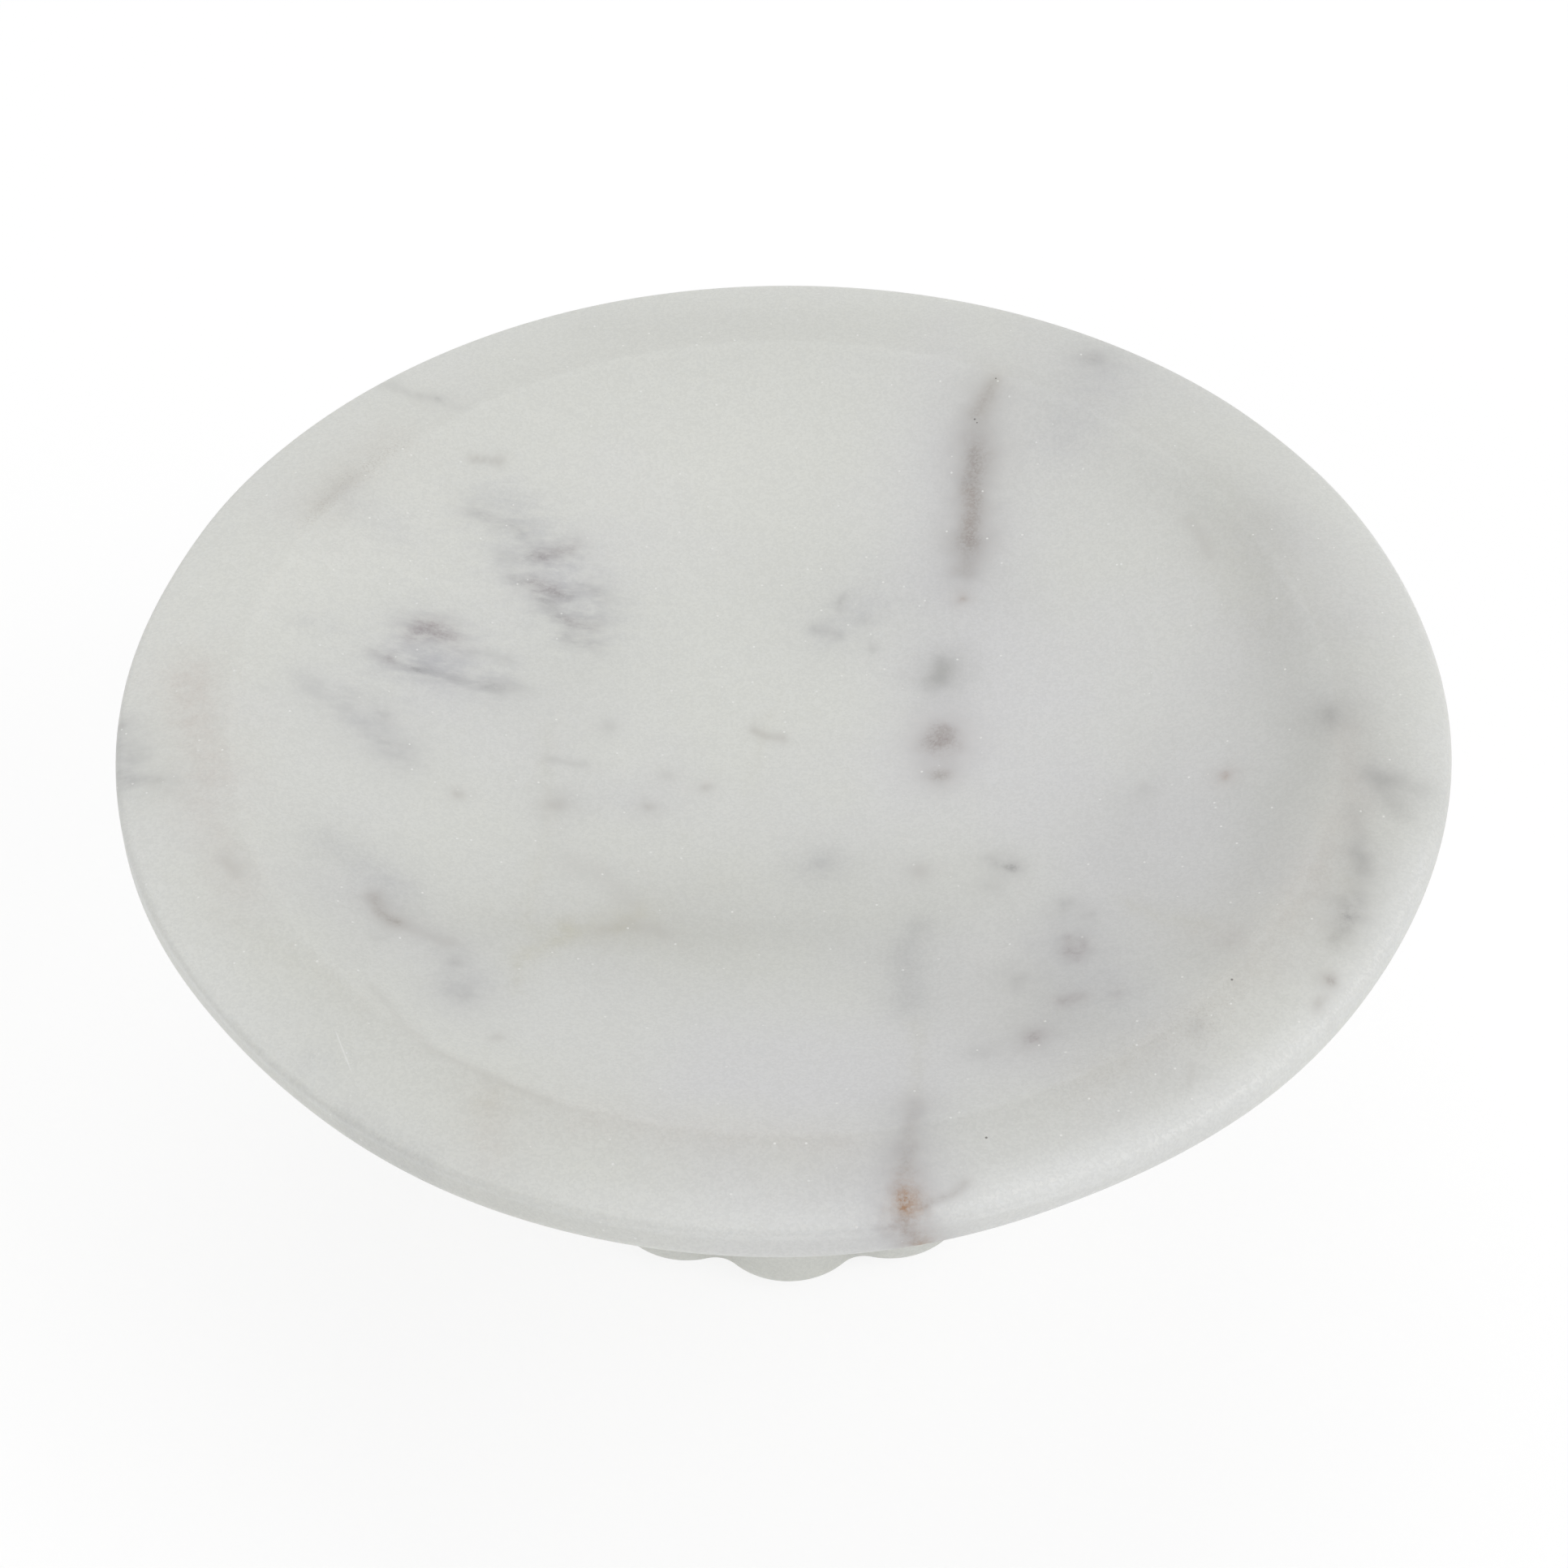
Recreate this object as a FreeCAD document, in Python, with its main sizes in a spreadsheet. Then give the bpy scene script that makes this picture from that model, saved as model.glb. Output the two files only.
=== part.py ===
"""Ring dish: a shallow marble dish on a fluted marble foot.

The dish is turned from one block of marble: a spherical well, a nearly flat rim and a bowed
underside with a flat landing in the middle. The foot is a second block, carved into a ring of
rounded lobes. A steel pin centres the two stones, epoxy in a shallow pocket bonds them, and
felt dots under the foot keep the stone off the table.

Millimetres, +Z up. The origin is on the table, under the middle of the dish, and one lobe of
the foot points along -Y.
"""

import FreeCAD
import Part
import Sketcher

import math
import os

SIZES = [
    ("dish_diameter", 114.0, "across the outside of the rim"),
    ("overall_height", 50.0, "table to the crest of the rim"),
    ("rim_width", 9.5, "edge of the well to the outside of the rim"),
    ("rim_fall", 0.4, "how far the rim drops from its crest to its outer edge"),
    ("edge_height", 3.4, "upright outer edge of the rim"),
    ("edge_top_round", 0.4, "eased top corner of the outer edge"),
    ("edge_low_round", 1.5, "rounded bottom corner of the outer edge"),
    ("crest_round", 3.0, "softened crest between the well and the rim"),
    ("well_depth", 7.0, "crest of the rim to the bottom of the well"),
    ("floor_thickness", 7.0, "stone under the bottom of the well"),
    ("landing_margin", 3.0, "flat landing of the dish beyond the lobes of the foot"),
    ("lobe_count", 12, "lobes round the foot"),
    ("foot_bottom_diameter", 50.8, "across the lobe tips at the bottom"),
    ("foot_top_diameter", 45.0, "across the lobe tips under the dish"),
    ("lobe_round", 7.0, "radius of a lobe at the bottom"),
    ("groove_round", 2.6, "radius of the groove between two lobes at the bottom"),
    ("foot_edge_round", 0.8, "eased bottom edge of the foot"),
    ("bond_diameter", 34.0, "glue pocket in the top of the foot"),
    ("bond_thickness", 0.3, "depth of the glue pocket"),
    ("bond_gap", 0.1, "between the epoxy and the wall of its pocket"),
    ("pin_diameter", 6.0, "locating pin"),
    ("pin_in_dish", 3.5, "length of the pin inside the dish"),
    ("pin_in_foot", 10.0, "length of the pin inside the foot"),
    ("pin_chamfer", 0.5, "chamfer on both ends of the pin"),
    ("pin_clearance", 0.1, "between the pin and the wall of its holes"),
    ("pin_end_gap", 0.3, "between each end of the pin and the end of its hole"),
    ("dot_count", 4, "felt dots under the foot"),
    ("dot_diameter", 10.0, "one felt dot"),
    ("dot_thickness", 1.2, "one felt dot, which is also the gap under the foot"),
    ("dot_edge_round", 0.3, "worn lower edge of a felt dot"),
    ("dot_inset", 9.4, "lobe tips at the bottom of the foot to the centre of a felt dot"),
]

FULL_TURN = 360.0
SAME = 1e-4

# Levels and radii that several pieces share, as formulas over the sheet.
RIM_RADIUS = "Sizes.dish_diameter / 2"
WELL_RADIUS = "(Sizes.dish_diameter / 2 - Sizes.rim_width)"
CREST_LEVEL = "Sizes.overall_height"
WELL_LEVEL = "(Sizes.overall_height - Sizes.well_depth)"
EDGE_TOP_LEVEL = "(Sizes.overall_height - Sizes.rim_fall)"
EDGE_LOW_LEVEL = "(Sizes.overall_height - Sizes.rim_fall - Sizes.edge_height)"
SEAT_LEVEL = "(Sizes.overall_height - Sizes.well_depth - Sizes.floor_thickness)"
LANDING_RADIUS = "(Sizes.foot_top_diameter / 2 + Sizes.landing_margin)"
FOOT_LEVEL = "Sizes.dot_thickness"
TOP_SCALE = "Sizes.foot_top_diameter / Sizes.foot_bottom_diameter"
PIN_HOLE_RADIUS = "(Sizes.pin_diameter / 2 + Sizes.pin_clearance)"
DOT_CIRCLE_RADIUS = "(Sizes.foot_bottom_diameter / 2 - Sizes.dot_inset)"

doc = FreeCAD.newDocument("RingDish")


# The sheet of driving dimensions

sheet = doc.addObject("Spreadsheet::Sheet", "Sizes")
for row, (alias, number, note) in enumerate(SIZES, start=1):
    sheet.set(f"A{row}", alias)
    sheet.set(f"B{row}", str(number))
    sheet.set(f"C{row}", note)
    sheet.setAlias(f"B{row}", alias)
doc.recompute()


def size(formula):
    """The present value of a formula over the sheet."""
    return float(sheet.evalExpression(formula.replace("Sizes.", "")))


# Helpers for bodies and sketches

def new_body(label):
    body = doc.addObject("PartDesign::Body", label)
    body.Label = label
    return body


def origin_plane(body, role):
    return next(item for item in body.Origin.OriginFeatures if item.Role == role)


def new_sketch(body, name, role, level=None):
    """A sketch on one of the body's origin planes, lifted to a level of the sheet."""
    sketch = body.newObject("Sketcher::SketchObject", name)
    sketch.AttachmentSupport = [(origin_plane(body, role), "")]
    sketch.MapMode = "FlatFace"
    if level:
        sketch.setExpression("AttachmentOffset.Base.z", level)
    return sketch


def bind(sketch, constraint, name, formula):
    """Adds a constraint under a name and ties its value to a formula."""
    index = sketch.addConstraint(constraint)
    sketch.renameConstraint(index, name)
    sketch.setExpression(f"Constraints.{name}", formula)


def add_circle(sketch, name, radius):
    """A circle round the sketch's origin."""
    circle = Part.Circle(FreeCAD.Vector(0, 0, 0), FreeCAD.Vector(0, 0, 1), size(radius))
    geometry = sketch.addGeometry(circle, False)
    sketch.addConstraint(Sketcher.Constraint("Coincident", geometry, 3, -1, 1))
    bind(sketch, Sketcher.Constraint("Radius", geometry, size(radius)), name, radius)


def place_point(sketch, geometry, end, name, radius, level):
    """Holds one end of a line or arc at a radius and a level of the turned profile."""
    across = Sketcher.Constraint("DistanceX", -1, 1, geometry, end, size(radius))
    bind(sketch, across, name + "_radius", radius)
    upward = Sketcher.Constraint("DistanceY", -1, 1, geometry, end, size(level))
    bind(sketch, upward, name + "_level", level)


def arc_through(start, end, centre):
    """The short arc from start to end about a centre, all as (x, y), and whether it runs backwards."""
    first = math.atan2(start[1] - centre[1], start[0] - centre[0])
    last = math.atan2(end[1] - centre[1], end[0] - centre[0])
    backwards = math.remainder(last - first, 2 * math.pi) < 0
    if backwards:
        first, last = last, first
    radius = math.dist(start, centre)
    circle = Part.Circle(FreeCAD.Vector(*centre, 0), FreeCAD.Vector(0, 0, 1), radius)
    return Part.ArcOfCircle(circle, first, last), backwards


def line_between(start, end):
    return Part.LineSegment(FreeCAD.Vector(*start, 0), FreeCAD.Vector(*end, 0))


def circular_edges(feature, radius, level):
    """The names of a feature's round edges of one radius at one level."""
    found = []
    for number, edge in enumerate(feature.Shape.Edges, start=1):
        if edge.Degenerated or not isinstance(edge.Curve, Part.Circle):
            continue
        curve = edge.Curve
        if abs(curve.Radius - radius) < SAME and abs(curve.Center.z - level) < SAME:
            found.append(f"Edge{number}")
    return found


def level_edges(feature, level):
    """The names of a feature's edges that lie flat at one level."""
    found = []
    for number, edge in enumerate(feature.Shape.Edges, start=1):
        box = edge.BoundBox
        if abs(box.ZMin - level) < SAME and abs(box.ZMax - level) < SAME:
            found.append(f"Edge{number}")
    return found


def round_edges(body, name, base, edges, radius):
    doc.recompute()
    fillet = body.newObject("PartDesign::Fillet", name)
    fillet.Base = (base, edges)
    fillet.setExpression("Radius", radius)
    doc.recompute()
    return fillet


def add_pad(body, name, sketch, height):
    pad = body.newObject("PartDesign::Pad", name)
    pad.Profile = sketch
    pad.setExpression("Length", height)
    doc.recompute()
    return pad


def drill(body, name, radius, level, depth, upward):
    """A round pocket about the axis, cut upward or downward from a level, which has to remove stone."""
    before = body.Shape.Volume
    sketch = new_sketch(body, name + "Outline", "XY_Plane", level)
    add_circle(sketch, "wall", radius)
    pocket = body.newObject("PartDesign::Pocket", name)
    pocket.Profile = sketch
    pocket.Reversed = upward
    pocket.setExpression("Length", depth)
    doc.recompute()
    if body.Shape.Volume >= before:
        raise RuntimeError(f"{name} cuts nothing")
    return pocket


# Dish: the turned profile is half of a section through the axis

def build_dish():
    body = new_body("dish")
    sketch = new_sketch(body, "DishProfile", "XZ_Plane")
    well = (0.0, size(WELL_LEVEL))
    crest = (size(WELL_RADIUS), size(CREST_LEVEL))
    edge_top = (size(RIM_RADIUS), size(EDGE_TOP_LEVEL))
    edge_low = (size(RIM_RADIUS), size(EDGE_LOW_LEVEL))
    landing = (size(LANDING_RADIUS), size(SEAT_LEVEL))
    seat = (0.0, size(SEAT_LEVEL))

    well_rise = crest[1] - well[1]
    well_sphere = (crest[0] ** 2 + well_rise ** 2) / (2 * well_rise)
    bow_rise = edge_low[1] - landing[1]
    bow_run = edge_low[0] - landing[0]
    bow_radius = (bow_run ** 2 + bow_rise ** 2) / (2 * bow_rise)
    well_arc, _ = arc_through(well, crest, (0.0, well[1] + well_sphere))
    bow_arc, _ = arc_through(landing, edge_low, (landing[0], landing[1] + bow_radius))

    floor = sketch.addGeometry(well_arc, False)
    rim = sketch.addGeometry(line_between(crest, edge_top), False)
    edge = sketch.addGeometry(line_between(edge_top, edge_low), False)
    bow = sketch.addGeometry(bow_arc, False)
    underside = sketch.addGeometry(line_between(landing, seat), False)
    axis = sketch.addGeometry(line_between(seat, well), False)

    corners = [(floor, 2, rim, 1), (rim, 2, edge, 1), (edge, 2, bow, 2), (bow, 1, underside, 1),
               (underside, 2, axis, 1), (axis, 2, floor, 1)]
    for corner in corners:
        sketch.addConstraint(Sketcher.Constraint("Coincident", *corner))
    sketch.addConstraint(Sketcher.Constraint("PointOnObject", floor, 3, -2))
    sketch.addConstraint(Sketcher.Constraint("Vertical", bow, 3, bow, 1))
    sketch.addConstraint(Sketcher.Constraint("PointOnObject", axis, 1, -2))
    sketch.addConstraint(Sketcher.Constraint("PointOnObject", axis, 2, -2))
    place_point(sketch, rim, 1, "crest", WELL_RADIUS, CREST_LEVEL)
    place_point(sketch, edge, 1, "edge_top", RIM_RADIUS, EDGE_TOP_LEVEL)
    place_point(sketch, edge, 2, "edge_low", RIM_RADIUS, EDGE_LOW_LEVEL)
    place_point(sketch, underside, 1, "landing", LANDING_RADIUS, SEAT_LEVEL)
    seat_height = Sketcher.Constraint("DistanceY", -1, 1, axis, 1, seat[1])
    bind(sketch, seat_height, "seat_level", SEAT_LEVEL)
    well_height = Sketcher.Constraint("DistanceY", -1, 1, axis, 2, well[1])
    bind(sketch, well_height, "well_level", WELL_LEVEL)

    turned = body.newObject("PartDesign::Revolution", "TurnedDish")
    turned.Profile = sketch
    turned.ReferenceAxis = (sketch, ["V_Axis"])
    turned.Angle = FULL_TURN
    doc.recompute()

    crest_edges = circular_edges(turned, crest[0], crest[1])
    softened = round_edges(body, "CrestRound", turned, crest_edges, "Sizes.crest_round")
    top_edges = circular_edges(softened, edge_top[0], edge_top[1])
    eased = round_edges(body, "EdgeTopRound", softened, top_edges, "Sizes.edge_top_round")
    low_edges = circular_edges(eased, edge_low[0], edge_low[1])
    round_edges(body, "EdgeLowRound", eased, low_edges, "Sizes.edge_low_round")

    hole_depth = "Sizes.pin_in_dish + Sizes.pin_end_gap"
    drill(body, "DishPinHole", PIN_HOLE_RADIUS, SEAT_LEVEL, hole_depth, upward=True)
    return body


# Foot: one lobe, lofted from the bottom to the top as a wedge, and repeated round the axis

def lobe_wedge(body, name, level, scale):
    """One lobe between the middles of its two grooves, with both sides of the wedge on the axis.

    The lobe points along the sketch's -Y axis. Its arc meets the two groove arcs tangentially.
    """
    tip = f"(Sizes.foot_bottom_diameter / 2 * {scale})"
    lobe_radius = f"(Sizes.lobe_round * {scale})"
    groove_radius = f"(Sizes.groove_round * {scale})"
    half_angle = math.pi / size("Sizes.lobe_count")

    lobe_centre = size(tip) - size(lobe_radius)
    reach = size(lobe_radius) + size(groove_radius)
    beside = lobe_centre * math.sin(half_angle)
    groove_centre = lobe_centre * math.cos(half_angle) + math.sqrt(reach ** 2 - beside ** 2)
    groove_bottom = groove_centre - size(groove_radius)

    def along_side(distance, side):
        return (side * distance * math.sin(half_angle), -distance * math.cos(half_angle))

    def tangent_point(side):
        groove = along_side(groove_centre, side)
        share = size(lobe_radius) / reach
        return (groove[0] * share, -lobe_centre + (groove[1] + lobe_centre) * share)

    sketch = new_sketch(body, name, "XY_Plane", level)
    middle = (0.0, 0.0)
    left, right = along_side(groove_bottom, -1), along_side(groove_bottom, 1)
    left_arc, left_back = arc_through(left, tangent_point(-1), along_side(groove_centre, -1))
    lobe_arc, lobe_back = arc_through(tangent_point(-1), tangent_point(1), (0.0, -lobe_centre))
    right_arc, right_back = arc_through(tangent_point(1), right, along_side(groove_centre, 1))

    left_side = sketch.addGeometry(line_between(middle, left), False)
    left_groove = sketch.addGeometry(left_arc, False)
    lobe = sketch.addGeometry(lobe_arc, False)
    right_groove = sketch.addGeometry(right_arc, False)
    right_side = sketch.addGeometry(line_between(right, middle), False)

    def ends(backwards):
        return (2, 1) if backwards else (1, 2)

    left_from, left_to = ends(left_back)
    lobe_from, lobe_to = ends(lobe_back)
    right_from, right_to = ends(right_back)
    sketch.addConstraint(Sketcher.Constraint("Coincident", left_side, 1, -1, 1))
    sketch.addConstraint(Sketcher.Constraint("Coincident", right_side, 2, -1, 1))
    sketch.addConstraint(Sketcher.Constraint("Coincident", left_side, 2, left_groove, left_from))
    sketch.addConstraint(Sketcher.Constraint("Tangent", left_groove, left_to, lobe, lobe_from))
    sketch.addConstraint(Sketcher.Constraint("Tangent", lobe, lobe_to, right_groove, right_from))
    sketch.addConstraint(Sketcher.Constraint("Coincident", right_groove, right_to, right_side, 1))
    sketch.addConstraint(Sketcher.Constraint("PointOnObject", lobe, 3, -2))
    sketch.addConstraint(Sketcher.Constraint("PointOnObject", left_groove, 3, left_side))
    sketch.addConstraint(Sketcher.Constraint("PointOnObject", right_groove, 3, right_side))

    lobe_middle = Sketcher.Constraint("DistanceY", lobe, 3, -1, 1, lobe_centre)
    bind(sketch, lobe_middle, "lobe_centre", f"{tip} - {lobe_radius}")
    lobe_size = Sketcher.Constraint("Radius", lobe, size(lobe_radius))
    bind(sketch, lobe_size, "lobe_round", lobe_radius)
    left_size = Sketcher.Constraint("Radius", left_groove, size(groove_radius))
    bind(sketch, left_size, "left_groove_round", groove_radius)
    right_size = Sketcher.Constraint("Radius", right_groove, size(groove_radius))
    bind(sketch, right_size, "right_groove_round", groove_radius)
    wedge = Sketcher.Constraint("Angle", left_side, 1, right_side, 2, 2 * half_angle)
    bind(sketch, wedge, "wedge_angle", "360 deg / Sizes.lobe_count")
    return sketch


def build_foot():
    body = new_body("fluted_foot")
    bottom = lobe_wedge(body, "LobeBottom", FOOT_LEVEL, "1")
    top = lobe_wedge(body, "LobeTop", SEAT_LEVEL, TOP_SCALE)
    doc.recompute()

    lobe = body.newObject("PartDesign::AdditiveLoft", "Lobe")
    lobe.Profile = bottom
    lobe.Sections = [top]
    lobe.Ruled = True
    doc.recompute()

    ring = body.newObject("PartDesign::PolarPattern", "LobeRing")
    ring.Originals = [lobe]
    ring.Axis = (bottom, ["N_Axis"])
    ring.Angle = FULL_TURN
    ring.setExpression("Occurrences", "Sizes.lobe_count")
    body.Tip = ring
    doc.recompute()

    bottom_edges = level_edges(ring, size(FOOT_LEVEL))
    round_edges(body, "FootEdgeRound", ring, bottom_edges, "Sizes.foot_edge_round")
    drill(body, "BondPocket", "Sizes.bond_diameter / 2", SEAT_LEVEL, "Sizes.bond_thickness", upward=False)
    hole_depth = "Sizes.pin_in_foot + Sizes.pin_end_gap"
    drill(body, "FootPinHole", PIN_HOLE_RADIUS, SEAT_LEVEL, hole_depth, upward=False)
    return body


# Locating pin: a plain steel dowel, chamfered at both ends

def build_pin():
    body = new_body("locating_pin")
    lower_end = f"({SEAT_LEVEL} - Sizes.pin_in_foot)"
    sketch = new_sketch(body, "PinOutline", "XY_Plane", lower_end)
    add_circle(sketch, "outside", "Sizes.pin_diameter / 2")
    dowel = add_pad(body, "PinDowel", sketch, "Sizes.pin_in_dish + Sizes.pin_in_foot")
    upper_end = f"{SEAT_LEVEL} + Sizes.pin_in_dish"
    chamfer = body.newObject("PartDesign::Chamfer", "PinChamfer")
    chamfer.Base = (dowel, level_edges(dowel, size(lower_end)) + level_edges(dowel, size(upper_end)))
    chamfer.setExpression("Size", "Sizes.pin_chamfer")
    doc.recompute()
    return body


# Epoxy bond: a thin washer round the pin that fills the pocket in the top of the foot

def build_bond():
    body = new_body("epoxy_bond")
    sketch = new_sketch(body, "BondOutline", "XY_Plane", f"{SEAT_LEVEL} - Sizes.bond_thickness")
    add_circle(sketch, "outside", "Sizes.bond_diameter / 2 - Sizes.bond_gap")
    add_circle(sketch, "pin_hole", PIN_HOLE_RADIUS)
    add_pad(body, "BondWasher", sketch, "Sizes.bond_thickness")
    return body


# Felt dots: die-cut discs with a worn lower edge, evenly spaced under the foot

def build_dot(number):
    body = new_body(f"felt_dot_{number + 1}")
    sketch = new_sketch(body, f"DotOutline{number + 1}", "XY_Plane")
    add_circle(sketch, "outside", "Sizes.dot_diameter / 2")
    disc = add_pad(body, f"DotDisc{number + 1}", sketch, "Sizes.dot_thickness")
    worn_edges = level_edges(disc, 0.0)
    round_edges(body, f"DotEdgeRound{number + 1}", disc, worn_edges, "Sizes.dot_edge_round")
    turn = f"(360 deg * {number} / Sizes.dot_count)"
    body.setExpression("Placement.Base.x", f"{DOT_CIRCLE_RADIUS} * cos({turn})")
    body.setExpression("Placement.Base.y", f"{DOT_CIRCLE_RADIUS} * sin({turn})")
    return body


pieces = [build_dish(), build_foot(), build_pin(), build_bond()]
for dot_number in range(int(size("Sizes.dot_count"))):
    pieces.append(build_dot(dot_number))
doc.recompute()

for item in doc.Objects:
    if "Invalid" in item.State or "Error" in item.State:
        raise RuntimeError(f"{item.Label} failed to build: {item.State}")
for piece in pieces:
    if piece.Shape.isNull() or not piece.Shape.isValid():
        raise RuntimeError(f"{piece.Label} has no valid shape")

os.makedirs("parts", exist_ok=True)
for piece in pieces:
    piece.Shape.exportStep(f"parts/{piece.Label}.step")
    volume = piece.Shape.Volume / 1000
    print(f"{piece.Label}: {len(piece.Shape.Solids)} solid, {volume:.2f} cm3")
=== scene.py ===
"""The ring dish, dressed: honed white marble on a fluted foot, on a pale table in soft light."""
import math

import bpy
import numpy as np
from mathutils import Euler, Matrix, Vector


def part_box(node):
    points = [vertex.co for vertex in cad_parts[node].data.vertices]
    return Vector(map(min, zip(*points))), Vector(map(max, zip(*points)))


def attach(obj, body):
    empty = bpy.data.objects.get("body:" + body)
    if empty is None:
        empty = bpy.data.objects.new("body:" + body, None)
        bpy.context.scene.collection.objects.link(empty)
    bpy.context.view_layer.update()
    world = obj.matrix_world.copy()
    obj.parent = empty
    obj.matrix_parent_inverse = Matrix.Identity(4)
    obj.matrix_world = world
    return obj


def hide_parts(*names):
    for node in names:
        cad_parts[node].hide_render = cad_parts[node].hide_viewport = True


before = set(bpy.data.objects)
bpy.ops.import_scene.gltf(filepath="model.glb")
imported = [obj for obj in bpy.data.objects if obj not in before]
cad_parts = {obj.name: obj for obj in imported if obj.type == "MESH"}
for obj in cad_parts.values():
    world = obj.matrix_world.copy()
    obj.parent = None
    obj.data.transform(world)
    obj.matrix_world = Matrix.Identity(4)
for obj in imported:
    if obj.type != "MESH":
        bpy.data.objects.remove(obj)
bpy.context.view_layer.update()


# Dish
# Turned from one block of white marble and honed by hand, so its outline wanders a little.
# It has a spherical well, a crest, a rim that rolls over to an upright edge, and a bowed
# underside with a flat landing for the foot and a blind hole for the pin.

MM = 0.001
dish_low, dish_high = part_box("dish")
DISH_RADIUS = dish_high.x
CREST_LEVEL = dish_high.z
SEAT_LEVEL = dish_low.z
RIM_WIDTH = 9.5 * MM
WELL_RADIUS = DISH_RADIUS - RIM_WIDTH
WELL_DEPTH = 7.0 * MM
CREST_SOFTNESS = 0.15 * MM
RIM_FALL = 0.2 * MM
ROLL_WIDTH = 4.0 * MM
ROLL_DROP = 0.35 * MM
EDGE_HEIGHT = 3.1 * MM
EDGE_REACH = 1.5 * MM
EDGE_TOP_ROUND = 0.35 * MM
EDGE_TOP_SOFT = 1.4 * MM
EDGE_LOW_ROUND = 1.5 * MM
EDGE_LOW_SOFT = 2.2 * MM
LANDING_RADIUS = 25.5 * MM
PIN_HOLE_RADIUS = 3.1 * MM
DISH_HOLE_DEPTH = 3.8 * MM

# The lower round of the edge is at most this many times the wall that is left for it.
EDGE_LOW_LIMIT = 1.8

# Sides round the dish, and rings of points along its half section.
DISH_SIDES = 600
WELL_RINGS = 97
CREST_RINGS = 14
CREST_ZONE = 2.5 * MM
RIM_RINGS = 14
EDGE_RINGS = 13
CORNER_RINGS = 9
BOW_RINGS = 14
BOW_STARTS = 0.97
SHARP_ANGLE = math.radians(50)


def smoothstep(low, high, value):
    share = np.clip((value - low) / (high - low), 0, 1)
    return share * share * (3 - 2 * share)


def dish_top(radius):
    """Height of the well, the crest and the rim at one radius or many."""
    sphere = (WELL_RADIUS ** 2 + WELL_DEPTH ** 2) / (2 * WELL_DEPTH)
    well = CREST_LEVEL - WELL_DEPTH + sphere - np.sqrt(sphere ** 2 - radius ** 2)
    roll = np.maximum(0, (radius - DISH_RADIUS + ROLL_WIDTH) / ROLL_WIDTH)
    rim = CREST_LEVEL - RIM_FALL * (radius - WELL_RADIUS) / RIM_WIDTH - ROLL_DROP * roll ** 2
    overlap = np.maximum(0, CREST_SOFTNESS - np.abs(well - rim)) / CREST_SOFTNESS
    return np.minimum(well, rim) - CREST_SOFTNESS * overlap ** 2 / 4


# What the hand ground away from the outline, the crest and the foot of the edge:
# (where round the dish in degrees, half its width in degrees, how deep). One below 0 was left standing out.
RIM_FLATS = [(162, 9, 0.22 * MM), (216, 13, 0.25 * MM), (300, 15, 0.25 * MM), (332, 16, 0.38 * MM),
             (88, 16, 0.10 * MM), (36, 6, 0.12 * MM)]
CREST_FLATS = [(20, 40, 0.5 * MM), (110, 30, -0.3 * MM), (200, 35, 0.4 * MM), (290, 30, -0.35 * MM)]
LOW_FLATS = [(222, 15, 0.85 * MM), (296, 14, 0.62 * MM), (326, 18, 0.90 * MM)]
CREST_REACH = 4.0 * MM


def flattened(flats, angles):
    """How far a line of the dish is ground back at each angle."""
    total = np.zeros_like(angles)
    for middle, width, depth in flats:
        away = np.angle(np.exp(1j * (angles - math.radians(middle))))
        total += depth * np.exp(-(away / math.radians(width)) ** 2)
    return total


# Stretches of the rim, in degrees round the dish: (starts, is full, begins to end, has ended).
RIGHT_SIDE = (284, 304, 365, 400)
LEFT_SIDE = (150, 180, 200, 215)
FRONT_LEFT = (212, 230, 252, 266)
FRONT_RIGHT = (272, 290, 330, 350)
LEFT_SOFTNESS = 0.25


def stretch(angles, limits):
    """A stretch of the rim that comes in and goes out softly, from 0 to 1, at each angle."""
    starts, full, ends, ended = limits
    turned = np.degrees(angles) % 360
    if ended > 360:
        turned = np.where(turned < ended - 360, turned + 360, turned)
    return smoothstep(starts, full, turned) - smoothstep(ends, ended, turned)


def edge_softness(angles):
    """How far the hand rounded the edge at each angle: most on the right, a little on the left."""
    return np.clip(stretch(angles, RIGHT_SIDE) + LEFT_SOFTNESS * stretch(angles, LEFT_SIDE), 0, 1)


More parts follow.
